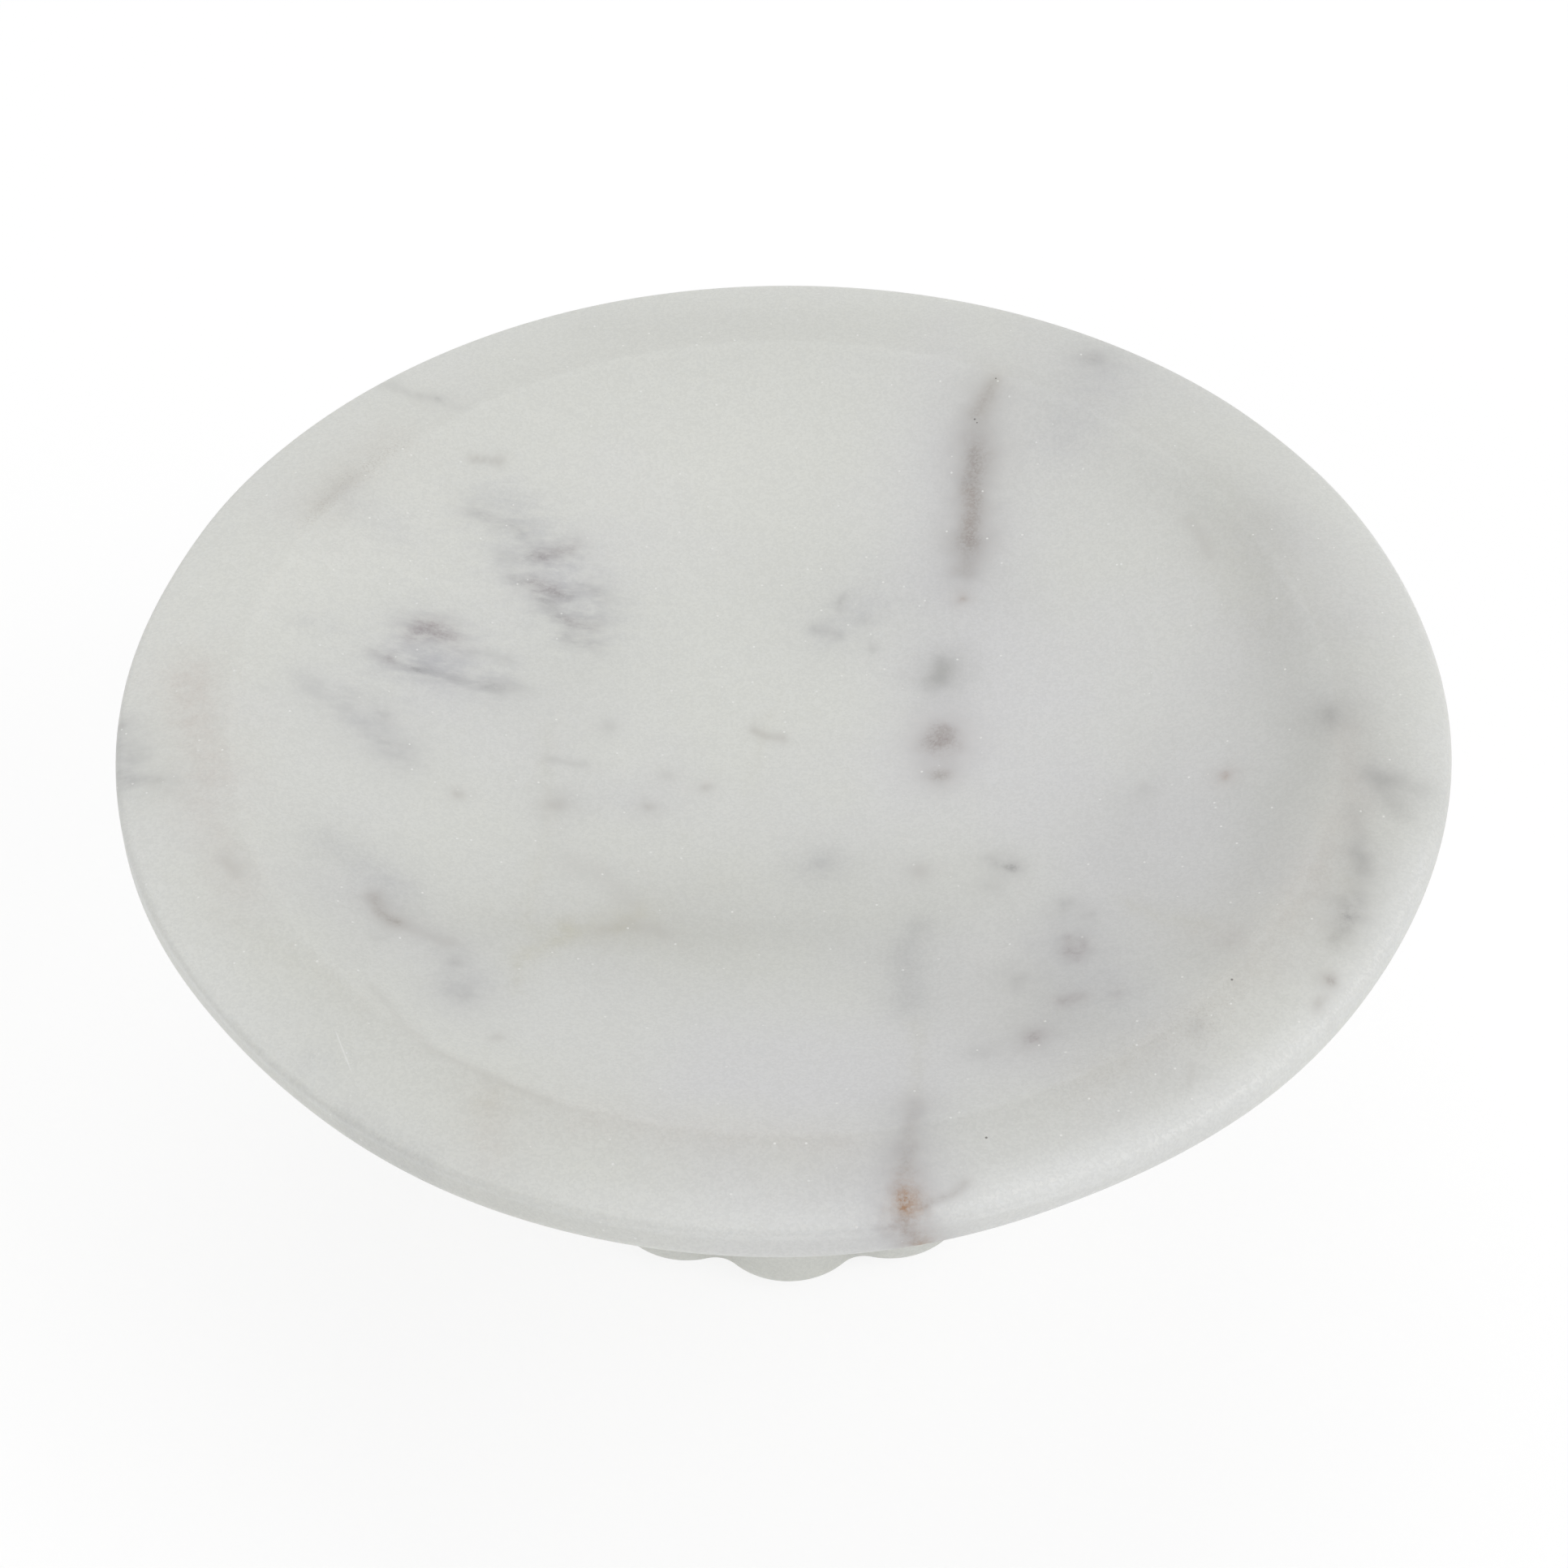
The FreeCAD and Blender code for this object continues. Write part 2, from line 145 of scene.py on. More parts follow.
def dish_sections(angles):
    """The half section at each angle, as rings of (radius, level) from the well round to the pin hole."""
    soft = edge_softness(angles)
    even = np.ones_like(angles)
    inside, outside = WELL_RADIUS - CREST_ZONE, WELL_RADIUS + CREST_ZONE
    top = np.concatenate([np.linspace(0, inside, WELL_RINGS + 1)[1:],
                          np.linspace(inside, outside, CREST_RINGS + 1)[1:],
                          np.linspace(outside, DISH_RADIUS - EDGE_REACH, RIM_RINGS + 1)[1:]])
    rings = [(radius * even, dish_top(radius) * even) for radius in top]

    # The top of the edge: along the rim, round the corner, down the wall
    turn = EDGE_TOP_ROUND + (EDGE_TOP_SOFT - EDGE_TOP_ROUND) * soft
    straight = EDGE_REACH - turn
    corner_ends = straight + turn * math.pi / 2
    for share in np.linspace(0, 1, EDGE_RINGS + 1)[1:]:
        way = share * (corner_ends + straight)
        angle = np.clip((way - straight) / turn, 0, math.pi / 2)
        inward = np.where(way < straight, EDGE_REACH - way, turn * (1 - np.sin(angle)))
        down = np.where(way > corner_ends, EDGE_REACH - (corner_ends + straight - way),
                        turn * (1 - np.cos(angle)))
        rings.append((DISH_RADIUS - inward, dish_top(DISH_RADIUS - inward) - down))

    # The lower corner, the bow of the underside, the landing and the pin hole
    height = EDGE_HEIGHT - flattened(LOW_FLATS, angles)
    edge_low = dish_top(DISH_RADIUS) - height
    low_round = EDGE_LOW_ROUND + (EDGE_LOW_SOFT - EDGE_LOW_ROUND) * soft
    low_round = np.minimum(low_round, EDGE_LOW_LIMIT * (height - EDGE_REACH))
    run = DISH_RADIUS - LANDING_RADIUS
    rise = edge_low - SEAT_LEVEL
    bow = (run ** 2 + rise ** 2) / (2 * rise)
    slope = 2 * np.arctan2(rise, run)
    shoulder = edge_low + low_round / np.tan(math.pi / 4 + slope / 2)
    for share in np.linspace(0, 1, CORNER_RINGS):
        angle = (slope - math.pi / 2) * share
        rings.append((DISH_RADIUS - low_round * (1 - np.cos(angle)), shoulder + low_round * np.sin(angle)))
    for share in np.linspace(BOW_STARTS, 0, BOW_RINGS):
        angle = slope * share
        rings.append((LANDING_RADIUS + bow * np.sin(angle), SEAT_LEVEL + bow * (1 - np.cos(angle))))
    for level in (SEAT_LEVEL, SEAT_LEVEL + DISH_HOLE_DEPTH):
        rings.append((PIN_HOLE_RADIUS * even, level * even))
    return rings


def skin(name, rings, poles):
    """A closed mesh over rings of points, with a point on the axis at its first and last end."""
    count = len(rings[0])
    points = np.vstack([poles[0]] + rings + [poles[1]])
    here = np.arange(count)
    after = (here + 1) % count
    faces = [(0, 1 + a, 1 + b) for a, b in zip(here, after)]
    for ring in range(len(rings) - 1):
        low = 1 + ring * count
        high = low + count
        faces += list(zip((low + after).tolist(), (low + here).tolist(),
                          (high + here).tolist(), (high + after).tolist()))
    last = len(points) - 1
    start = 1 + (len(rings) - 1) * count
    faces += [(last, start + b, start + a) for a, b in zip(here.tolist(), after.tolist())]
    mesh = bpy.data.meshes.new(name)
    mesh.from_pydata(points.tolist(), [], faces)
    mesh.validate()
    mesh.shade_smooth()
    mesh.set_sharp_from_angle(angle=SHARP_ANGLE)
    piece = bpy.data.objects.new(name, mesh)
    bpy.context.scene.collection.objects.link(piece)
    return piece


# Small bites out of the top of the edge, on the front left and the front right:
# (where round the dish, how far they spread), in degrees. Their widths and depths are in mm.
BITE_ZONES = [(228, 12), (316, 6)]
BITE_COUNT = 40
BITE_WIDTHS = (0.25, 0.7)
BITE_DEPTHS = (0.03, 0.16)
BITE_REACH = 0.3 * MM
BITE_DROP = 0.7
bite_draws = np.random.default_rng(7)


def edge_bites(angles):
    """How deep the edge is bitten at each angle."""
    depth = np.zeros_like(angles)
    for _ in range(BITE_COUNT):
        middle, spread = BITE_ZONES[bite_draws.integers(len(BITE_ZONES))]
        place = math.radians(middle + spread * bite_draws.normal() / 2)
        width = bite_draws.uniform(*BITE_WIDTHS) * MM / DISH_RADIUS
        deep = bite_draws.uniform(*BITE_DEPTHS) * MM
        away = np.angle(np.exp(1j * (angles - place)))
        depth = np.maximum(depth, deep * np.exp(-(away / width) ** 2))
    return depth


def make_dish():
    angles = np.linspace(0, 2 * math.pi, DISH_SIDES, endpoint=False)
    outline = -flattened(RIM_FLATS, angles)
    crest = -flattened(CREST_FLATS, angles)
    bites = edge_bites(angles)
    corner_level = dish_top(DISH_RADIUS)
    rings = []
    for radius, level in dish_sections(angles):
        upper = smoothstep(CREST_LEVEL - WELL_DEPTH, CREST_LEVEL - WELL_DEPTH / 2, level)
        worked = radius + outline * smoothstep(WELL_RADIUS, DISH_RADIUS, radius)
        worked = worked + upper * crest * np.exp(-((radius - WELL_RADIUS) / CREST_REACH) ** 2)
        from_corner = (radius - DISH_RADIUS) ** 2 + (level - corner_level) ** 2
        bitten = bites * np.exp(-from_corner / BITE_REACH ** 2)
        worked = worked - bitten
        height = level - BITE_DROP * bitten
        rings.append(np.column_stack([worked * np.cos(angles), worked * np.sin(angles), height]))
    poles = [(0, 0, dish_top(0)), (0, 0, SEAT_LEVEL + DISH_HOLE_DEPTH)]
    return skin("marble_dish", rings, poles)


# The stone is white marble with a greenish cast, cooler in places, made of sugar-sized crystals.
# Its grey smoke, brown veins and one rust spot run down through the block.

def colour(red, green, blue):
    """A colour as it is seen on a screen, 0 to 255, as the numbers that a shader takes."""
    return tuple(((c / 255 + 0.055) / 1.055) ** 2.4 for c in (red, green, blue)) + (1.0,)


def node(tree, kind, inputs, **settings):
    """Adds a shader node, with its settings and with its inputs linked or set."""
    made = tree.nodes.new("ShaderNode" + kind)
    for key, value in settings.items():
        setattr(made, key, value)
    for socket, value in inputs.items():
        if isinstance(value, bpy.types.NodeSocket):
            tree.links.new(value, made.inputs[socket])
        else:
            made.inputs[socket].default_value = value
    return made


def maths(tree, operation, first, second=0.0, clamp=False):
    return node(tree, "Math", {0: first, 1: second}, operation=operation, use_clamp=clamp).outputs[0]


def vectors(tree, operation, first, second):
    return node(tree, "VectorMath", {0: first, 1: second}, operation=operation)


def blend(tree, share, first, second, blend_type="MIX"):
    """One colour laid over another by a share from 0 to 1."""
    mixed = node(tree, "Mix", {0: share, 6: first, 7: second}, data_type="RGBA", blend_type=blend_type)
    return mixed.outputs[2]


def ramp(tree, value, low, high, to_low=0.0, to_high=1.0):
    """A value taken smoothly from one range to another."""
    inputs = {0: value, 1: low, 2: high, 3: to_low, 4: to_high}
    return node(tree, "MapRange", inputs, interpolation_type="SMOOTHSTEP").outputs[0]


def cloud(tree, place, size, detail=3.0, roughness=0.5):
    """Noise with blobs of about one size, from 0 to 1."""
    inputs = {"Vector": place, "Scale": 1 / size, "Detail": detail, "Roughness": roughness}
    return node(tree, "TexNoise", inputs).outputs[0]


LATTICE = 32


def stone_waves(points, size, seed):
    """Smooth random waves of about one size, from -1 to 1, one number for each point."""
    lattice = np.random.default_rng(seed).uniform(-1, 1, (LATTICE, LATTICE, LATTICE))
    spot = points / size
    cell = np.floor(spot).astype(int)
    part = smoothstep(0, 1, spot - cell)
    total = np.zeros(len(points))
    for corner in np.ndindex(2, 2, 2):
        weight = np.prod(np.where(corner, part, 1 - part), axis=1)
        total += weight * lattice[tuple(((cell + corner) % LATTICE).T)]
    return total


def mesh_points(piece):
    points = np.empty(len(piece.data.vertices) * 3)
    piece.data.vertices.foreach_get("co", points)
    return points.reshape(-1, 3)


def store(piece, name, values):
    """Keeps one number for each point of the mesh, which the material reads by its name."""
    piece.data.attributes.new(name, "FLOAT", "POINT").data.foreach_set("value", values)


def distance_to_path(place, path):
    """Distance of each place from a bent line through the points of a path, which are in mm."""
    path = np.array(path) * MM
    nearest = np.linalg.norm(place - path[0], axis=1)
    for start, end in zip(path, path[1:]):
        run = end - start
        share = np.clip((place - start) @ run / (run @ run), 0, 1)
        nearest = np.minimum(nearest, np.linalg.norm(place - start - share[:, None] * run, axis=1))
    return nearest


# A vein leans as it goes down into the block, wanders a little, and fades out in a halo.
# Wanders are (size, reach), and drifts, the broad and the small changes of the ground, are (size, share).
LEAN = np.array([0.35, -0.2])
WANDERS = [(5.0 * MM, 0.15 * MM), (1.4 * MM, 0.35 * MM)]
HALO_REACH = 2.5
HALO_SHARE = 0.38
BROAD_DRIFT = (15 * MM, 0.30)
SMALL_DRIFT = (5 * MM, 0.18)


def lay_veins(piece, kinds, seed, top):
    """Stores on the mesh how deep each kind of vein lies at each point, below the top of its block."""
    points = mesh_points(piece)
    below = points[:, 2] - top(np.hypot(points[:, 0], points[:, 1]))
    place = points[:, :2] + below[:, None] * LEAN
    for size, reach in WANDERS:
        place = place + reach * np.column_stack([stone_waves(points, size, seed + turn) for turn in (1, 2)])
    for name, veins in kinds.items():
        total = np.zeros(len(points))
        for spread, depth, *path in veins:
            away = distance_to_path(place, path) / (spread * MM)
            total += depth * (1 - HALO_SHARE) * np.exp(-away ** 2)
            total += depth * HALO_SHARE * np.exp(-(away / HALO_REACH) ** 2)
        if name == "cool":
            total += BROAD_DRIFT[1] * stone_waves(points, BROAD_DRIFT[0], seed)
            total += SMALL_DRIFT[1] * stone_waves(points, SMALL_DRIFT[0], seed + 3)
        store(piece, name, total)


# The top of the rim ends this far below the crest, and fades out over this height:
# (where the edge is crisp, what the softest edge adds).
TOP_ENDS = (1.55 * MM, 0.7 * MM)
TOP_FADES = (0.4 * MM, 0.8 * MM)
WALL_FADES = 1.2 * MM

# Where the coarser rim starts and fades away from the crest, where light is painted on the outer rim
# and the edge, and where a bruise runs along the top of the edge.
COARSE_AND_SHADE_STARTS = (-0.3 * MM, 0.4 * MM)
COARSE_AND_SHADE_REACH = 5.0 * MM
PAINTED_EDGE_LIGHT_BAND = (4.5 * MM, 0.5 * MM)
BRUISE_INSET = 1.0 * MM
BRUISE_WIDTH = 0.22 * MM

# How they change round the dish, as a share for each side, so that the painted shade and the painted light
# follow where the light falls.
# The right side is turned towards the front by an angle in radians.
RIGHT_TURN = 0.35
# Painted shade on the coarser rim: darker on the right and the front, hardly any on the left.
COARSE_AND_SHADE_SIDES = {"all": 1.0, "right": 0.4, "front": 0.3, "left": -0.9}
COARSE_AND_SHADE_LIMITS = (0.1, 2.0)
# Painted light on the outer rim and the edge: stronger in front and on the right, where the lamps fall,
# weaker at the back; on the wall more on the front of the right, less on the front left.
PAINTED_EDGE_LIGHT_SIDES = {"all": 0.5, "front": 0.4, "back": -0.25, "front right": 0.5, "far right": 0.2}
PAINTED_EDGE_LIGHT_ON_TOP = 0.65
PAINTED_EDGE_LIGHT_ON_WALL = 0.35
PAINTED_WALL_LIGHT_SIDES = {"front of the right": 0.5, "front left": -0.35}


def lay_rim_tone_and_light(piece):
    """Stores where the rim was left coarser and painted with shade, where light is painted on the edge, and
    where it is bruised.
    """
    points = mesh_points(piece)
    level = points[:, 2]
    radius = np.hypot(points[:, 0], points[:, 1])
    angles = np.arctan2(points[:, 1], points[:, 0])
    right = np.clip(np.cos(angles + RIGHT_TURN), 0, 1)
    front = np.clip(-np.sin(angles), 0, 1)
    front_right = stretch(angles, FRONT_RIGHT)
    sides = {"all": np.ones_like(angles), "front": front, "back": np.clip(np.sin(angles), 0, 1),
             "left": np.clip(-np.cos(angles), 0, 1) ** 2, "right": right, "far right": right ** 6,
             "front left": stretch(angles, FRONT_LEFT), "front right": front_right,
             "front of the right": front_right * front}

    def round_the_dish(shares):
        return sum(share * sides[side] for side, share in shares.items())

    soft = edge_softness(angles)
    top_ends = CREST_LEVEL - TOP_ENDS[0] - TOP_ENDS[1] * soft
    on_top = smoothstep(top_ends, top_ends + TOP_FADES[0] + TOP_FADES[1] * soft, level)
    on_wall = smoothstep(CREST_LEVEL - EDGE_HEIGHT - WALL_FADES, CREST_LEVEL - EDGE_HEIGHT, level)

    # The coarser rim, with painted shade that is stronger on the right and the front.
    past_crest = radius + flattened(CREST_FLATS, angles) - WELL_RADIUS
    coarse_and_shade = smoothstep(*COARSE_AND_SHADE_STARTS, past_crest) * np.exp(-((radius - WELL_RADIUS) / COARSE_AND_SHADE_REACH) ** 2)
    store(piece, "coarse_and_shade", on_top * coarse_and_shade * np.clip(round_the_dish(COARSE_AND_SHADE_SIDES), *COARSE_AND_SHADE_LIMITS))

    # Painted light: the outer rim and the edge are painted lighter.
    outward = smoothstep(DISH_RADIUS - PAINTED_EDGE_LIGHT_BAND[0], DISH_RADIUS - PAINTED_EDGE_LIGHT_BAND[1], radius)
    rim = round_the_dish(PAINTED_EDGE_LIGHT_SIDES)
    painted_wall_light = PAINTED_EDGE_LIGHT_ON_WALL * rim + round_the_dish(PAINTED_WALL_LIGHT_SIDES)
    store(piece, "painted_edge_light", outward * (PAINTED_EDGE_LIGHT_ON_TOP * on_top * rim + on_wall * painted_wall_light))

    from_bruise = radius - DISH_RADIUS + BRUISE_INSET
    store(piece, "bruised", on_top * front_right * np.exp(-(from_bruise / BRUISE_WIDTH) ** 2))


# Each vein is (spread, depth, then the points of its path on the top of the dish), in mm from the middle.

# Where the ground is cooler
COOL = [
    (6, 0.60, (17, 34), (14, 0)), (7, 0.48, (24, 12), (22, -8)), (6, 0.45, (38, 8), (36, -18)),
    (6, 0.68, (26, -24), (32, -12)), (5, 0.48, (-30, 10), (-20, 19)), (4, 0.40, (-34, -20), (-27, -31)),
    (4.5, 0.64, (-6, -36), (16, -38)), (3, 0.50, (-8, -42), (10, -42.5)),
    (4, 0.45, (-4, -54), (20, -53)), (4, 0.48, (9, -52), (8, -57)), (4, 0.40, (44, 26), (50, 8)),
    (4, 0.48, (30, 42), (26, 34)), (5, 0.28, (-10, -6), (6, -8)), (6, 0.50, (16, -28), (22, -36)),
]

# Where the bed of the stone shows, so that what lies there is streaked
BEDDED = [
    (9, 1.0, (-36, 10), (-18, 18)), (7, 1.0, (-26, 32), (-22, 24)), (4, 0.8, (-52, -6), (-56, -10)),
    (5, 0.5, (20, -30), (26, -33)),
]

# Clear patches, lighter than the ground
PALE = [
    (6, 0.22, (-43, 17), (-34, 22)), (7, 0.20, (-19, 30), (-4, 35)), (4, 0.18, (21, 34), (28, 33)),
    (3, 0.36, (18, -26), (18, -34)), (4, 0.18, (36, -31), (35, -38)), (4, 0.14, (-55, 3), (-54, 12)),
]

# Soft grey haze, and painted shade where the slopes on the right turn away from the light
HAZE_AND_SHADE = [
    # Far left of the well and its crest
    (3, 0.08, (-18, 9)),
    # Far rim
    (4, 0.14, (27, 36), (30, 44)), (3, 0.12, (46, 33), (25, 50)), (2.6, 0.10, (20, 51), (-18, 51)),
    # Long vein, and the spots in front of it
    (1.4, 0.80, (14.1, 9.7), (13.9, 8.9)), (1.9, 0.30, (17.8, 36.5), (17.2, 30), (16.6, 22)),
    (4, 0.12, (14, 18), (21, 17)),
    # Streak from the well out to the near rim
    (1.3, 0.26, (11, -21.5), (9.8, -25), (9.8, -31.6)),
    # Left and middle of the well
    (4, 0.08, (-20, 2), (-20, -8)), (4, 0.07, (8, 19), (0, 21)), (10, 0.03, (0, 2)),
    (1.6, 0.20, (3, -13.3)),
    # Broken vein on the near left
    (2.0, 0.14, (-38, -14.5), (-32, -19)), (2.4, 0.08, (-34, -20.5), (-27, -26)),
    (1.9, 0.16, (-26.4, -30.6)),
    # Near part of the well: a darker band across it
    (2.6, 0.15, (-24, -22.5), (4, -21.8)), (5, 0.08, (-8, -18), (12, -17)),
    (8, 0.07, (-8, -20), (14, -20)), (5, 0.06, (-20, -18), (-8, -17)), (5, 0.10, (-5, -26), (7, -26)),
    (4, 0.10, (-15, -26)),
    # Right crest and rim: painted shade in the broad rows, haze round the veins in the narrow ones
    (2.8, 0.22, (42.5, 22), (44.5, -6)), (2.8, 0.20, (43, -10), (35, -29)),
    (3, 0.10, (33, 30), (45, 20)), (3.4, 0.12, (38.6, 27), (42.4, 8)), (2.5, 0.12, (48, 8), (49, -6)),
    (2.0, 0.14, (49, -10), (51, -13)), (2.2, 0.10, (47.4, -14), (45, -28)), (1.4, 0.55, (46.7, -2.5)),
    (1.2, 0.26, (49.2, -9.6), (50.2, -10.1)), (1.0, 0.17, (50.2, -10.1), (53.5, -11.3)),
    (1.0, 0.20, (49.8, -11.5), (51.4, -14)), (0.7, 0.24, (47.2, -13.8), (47.3, -18)),
    (0.9, 0.50, (47.3, -18.8), (47.5, -20.6)),
    # Right half of the well: painted shade on the slope that faces away from the light
    (4.5, 0.16, (40, 2), (39, -18)), (4, 0.12, (28, -14), (32, -22)), (4, 0.12, (22, -33), (32, -28)),
    (4, 0.08, (32, -11), (38, -12)), (4.5, 0.17, (23, -25), (21, -34)), (5, 0.14, (16, -30), (19, -36)),
    (2.4, 0.09, (33, -2), (29, -9)),
    # Near rim and crest
    (4, 0.10, (25, -36), (29, -42)), (3, 0.10, (-22, -52)), (2.5, 0.08, (4, -52.5), (9, -52.5)),
    (2.5, 0.10, (-39, -21), (-35, -28)), (1.2, 0.14, (-34.5, -45.5), (-28.5, -49.5)),
]

# Pinkish stains along the crest and the rim
BLUSH = [
    (1.8, 0.20, (-51, 4), (-48.2, -8)), (1.8, 0.12, (-49, -12), (-45, -21)),
    (2.2, 0.08, (-42, 26), (-36, 34)), (1.6, 0.12, (-23.4, -44.1), (-23, -48.9)),
    (1.8, 0.10, (-16, -46), (4, -48.5)), (2.0, 0.05, (24, -42.5), (38, -31)),
    (1.8, 0.12, (41, -25), (46, -15)), (1.4, 0.10, (-52.5, 3), (-51, -2)),
    (1.2, 0.12, (47.5, -4), (47.5, -12)), (1.8, 0.07, (33.4, -25.5), (36, -27)),
]

# Yellowish stains and lines
STRAW = [
    # Far left of the well and its crest
    (0.9, 0.06, (-40, 28.5), (-42, 25.5)),
    # Long vein, and the spots in front of it
    (0.8, 0.16, (20, 42.3), (18.4, 39)),
    # Streak from the well out to the near rim
    (0.6, 0.12, (10.4, -34), (10, -43)),
    # Left and middle of the well
    (0.5, 0.08, (-20.6, 3), (-20.2, -10), (-21.6, -22)), (0.5, 0.07, (-1.5, 5), (-3, -4)),
    (1.2, 0.06, (-5.6, -15.5)),
    # Near part of the well
    (0.5, 0.14, (-22, -30.3), (-21.6, -26)), (0.9, 0.20, (-21.6, -26), (-20, -24.7), (-18.2, -22.4)),
    (0.9, 0.14, (-18.2, -22.4), (-14.7, -21.7)), (1.1, 0.20, (-13.6, -21), (-11.7, -19.5)),
    (2.4, 0.06, (-34, -22), (-4, -23)),
    # Right crest and rim
    (3.6, 0.09, (40.2, 19.2), (42, 12)), (1.0, 0.08, (46, -21.5), (44.5, -28)),
    # Right half of the well
    (0.6, 0.12, (28, -20.8), (30, -23), (34, -25)),
    # Near rim and crest
    (1.4, 0.12, (-23.4, -44.1)), (1.2, 0.08, (-46, -24), (-34, -34)),
    (2.0, 0.04, (24, -42.5), (38, -31)),
]

# Blue-grey smoke, mostly round the veins
SMOKE = [
    # Left edge and rim
    (1.4, 0.14, (-57, -2), (-55.5, -9)),
    # Far left of the well and its crest
    (2.8, 0.24, (-31.5, 12), (-31.1, 9.3)), (2.0, 0.16, (-34.8, 8.6), (-25.4, 7.4)),
    (3.1, 0.28, (-20.9, 21.5), (-17.9, 16)), (2.4, 0.20, (-25.4, 28), (-24, 25.6)),
    (1.8, 0.12, (-39.4, 26.5), (-34.6, 23.6)), (1.0, 0.12, (-42.2, 11.6), (-39.9, 11.5)),
    # Far rim
    (3.6, 0.14, (30, 43), (26, 35)),
    # Long vein, and the spots in front of it
    (2.2, 0.10, (18.4, 39), (17.6, 34.6), (16.4, 21.3)), (2.0, 0.07, (14.1, 9.8), (13.2, -3.1)),
    # Streak from the well out to the near rim
    (2.2, 0.22, (9.6, -46), (9.1, -51), (8.6, -57)), (1.3, 0.10, (10.4, -22.4), (9.8, -31.6)),
    # Left and middle of the well
    (1.4, 0.10, (-41.3, 4.1), (-38.9, 3.3), (-36.8, 1)),
    (1.7, 0.12, (-36, 0.8), (-34.3, -1.2), (-32.5, -3)), (2.2, 0.20, (4, 15), (7.4, 17.5)),
    (1.8, 0.14, (3, -13.3)), (2.0, 0.07, (-19, -6.5), (-11, -5.8)),
    # Broken vein on the near left
    (1.5, 0.12, (-38.3, -14.3), (-35.4, -16), (-31.7, -19.3)), (2.4, 0.10, (-34, -20.5), (-27, -26)),
    (1.9, 0.12, (-26.4, -30.6)),
    # Right half of the well
    (3.5, 0.16, (23, -26), (27, -33)),
    # Near rim and crest
    (1.4, 0.12, (-37, -39.8)), (1.3, 0.08, (-34.5, -45.5), (-28.5, -49.5)),
]

# Grey veins and spots
SLATE = [
    # Left edge and rim
    (0.9, 0.22, (-56.2, -8.2), (-54.4, -8.8), (-52, -9.4)), (0.8, 0.20, (-56.6, -1.9)),
    (1.2, 0.20, (-56.2, -4.6), (-55, -5.4)),
    # Far left of the well and its crest
    (1.0, 0.17, (-32.4, 12.6), (-30, 12.6)), (0.55, 0.16, (-36.6, 9.3), (-34.8, 8.6), (-32.2, 8)),
    (0.75, 0.27, (-32.2, 8), (-30.2, 7.5), (-27.4, 7.2), (-25.4, 7)),
    (0.5, 0.18, (-25.4, 7), (-22.6, 7)), (0.4, 0.14, (-28, 10.8), (-24.4, 10.3)),
    (0.6, 0.22, (-22.4, 22.5), (-19.1, 24)), (0.45, 0.16, (-25.2, 22.2), (-22, 22.5)),
    (0.7, 0.28, (-23.9, 19.7), (-21, 19), (-19.4, 18.6)),
    (0.7, 0.26, (-21.4, 17.7), (-19.7, 15.7), (-16.9, 14.9)), (0.6, 0.22, (-19.3, 13.6), (-16.4, 12.5)),
    (0.8, 0.22, (-17.6, 19.9), (-16, 18.6)), (0.8, 0.22, (-27.8, 27), (-25.8, 26.3), (-23.5, 25.3)),
    # Far rim
    (1.0, 0.30, (29.3, 44.8)), (0.45, 0.19, (-36.6, 42.8), (-34.6, 41), (-31.8, 39.8)),
    (0.5, 0.09, (-31.8, 39.8), (-29.5, 38.5)),
    # Long vein, and the spots in front of it
    (1.0, 0.18, (14.1, 9.6), (13.8, 8.8)),
    # Left and middle of the well
    (0.6, 0.18, (-34.4, 1.8)), (1.5, 0.20, (-34.6, -0.8), (-32.8, -2.6)),
    (1.5, 0.12, (-41, 4), (-37.5, 2)), (0.6, 0.24, (3.2, 15.2), (4.6, 14.5)),
    (0.4, 0.26, (5, 17.5), (5.6, 18.5)), (0.5, 0.16, (7.4, 16)), (0.4, 0.26, (8, 12.6)),
    (0.9, 0.12, (3, -13.3)), (0.6, 0.20, (-15.4, 3.2)), (0.4, 0.16, (-20.4, -1.2), (-16.9, -1.5)),
    # Broken vein on the near left
    (0.5, 0.24, (-26.9, -27.5)), (1.2, 0.20, (-26, -31.4)), (0.5, 0.16, (-33.4, -25.6)),
    # Right crest and rim
    (1.2, 0.12, (46.7, -2.5)), (0.8, 0.14, (49.2, -9.6), (50.2, -10.1)),
    (0.8, 0.06, (50.2, -10.1), (53.5, -11.3)), (0.8, 0.05, (49.8, -11.5), (51.4, -14)),
    (0.5, 0.06, (47.2, -13.8), (47.3, -18)), (0.8, 0.18, (47.3, -18.8), (47.5, -20.6)),
    (1.1, 0.22, (46.7, -23.6), (45.5, -25.8)), (0.8, 0.22, (45.5, -25.8), (44.3, -28.2)),
    (0.9, 0.12, (44.8, -24.3)),
    # Right half of the well
    (0.6, 0.62, (18.7, -15)), (0.8, 0.16, (17.4, -13.9)), (0.8, 0.16, (17.1, -17.3)),
    (0.5, 0.24, (22.6, -21.2), (23.5, -19.8)), (0.6, 0.22, (24.7, -21.7)), (1.2, 0.18, (23.4, -25.6)),
    (0.9, 0.24, (18.7, -29.3)), (0.9, 0.18, (15.5, -37.9)), (1.0, 0.18, (19.2, -36.6)),
    (0.9, 0.14, (30.6, -7.4)),
    # Near rim and crest
    (0.45, 0.30, (32.2, -37.4)),
]

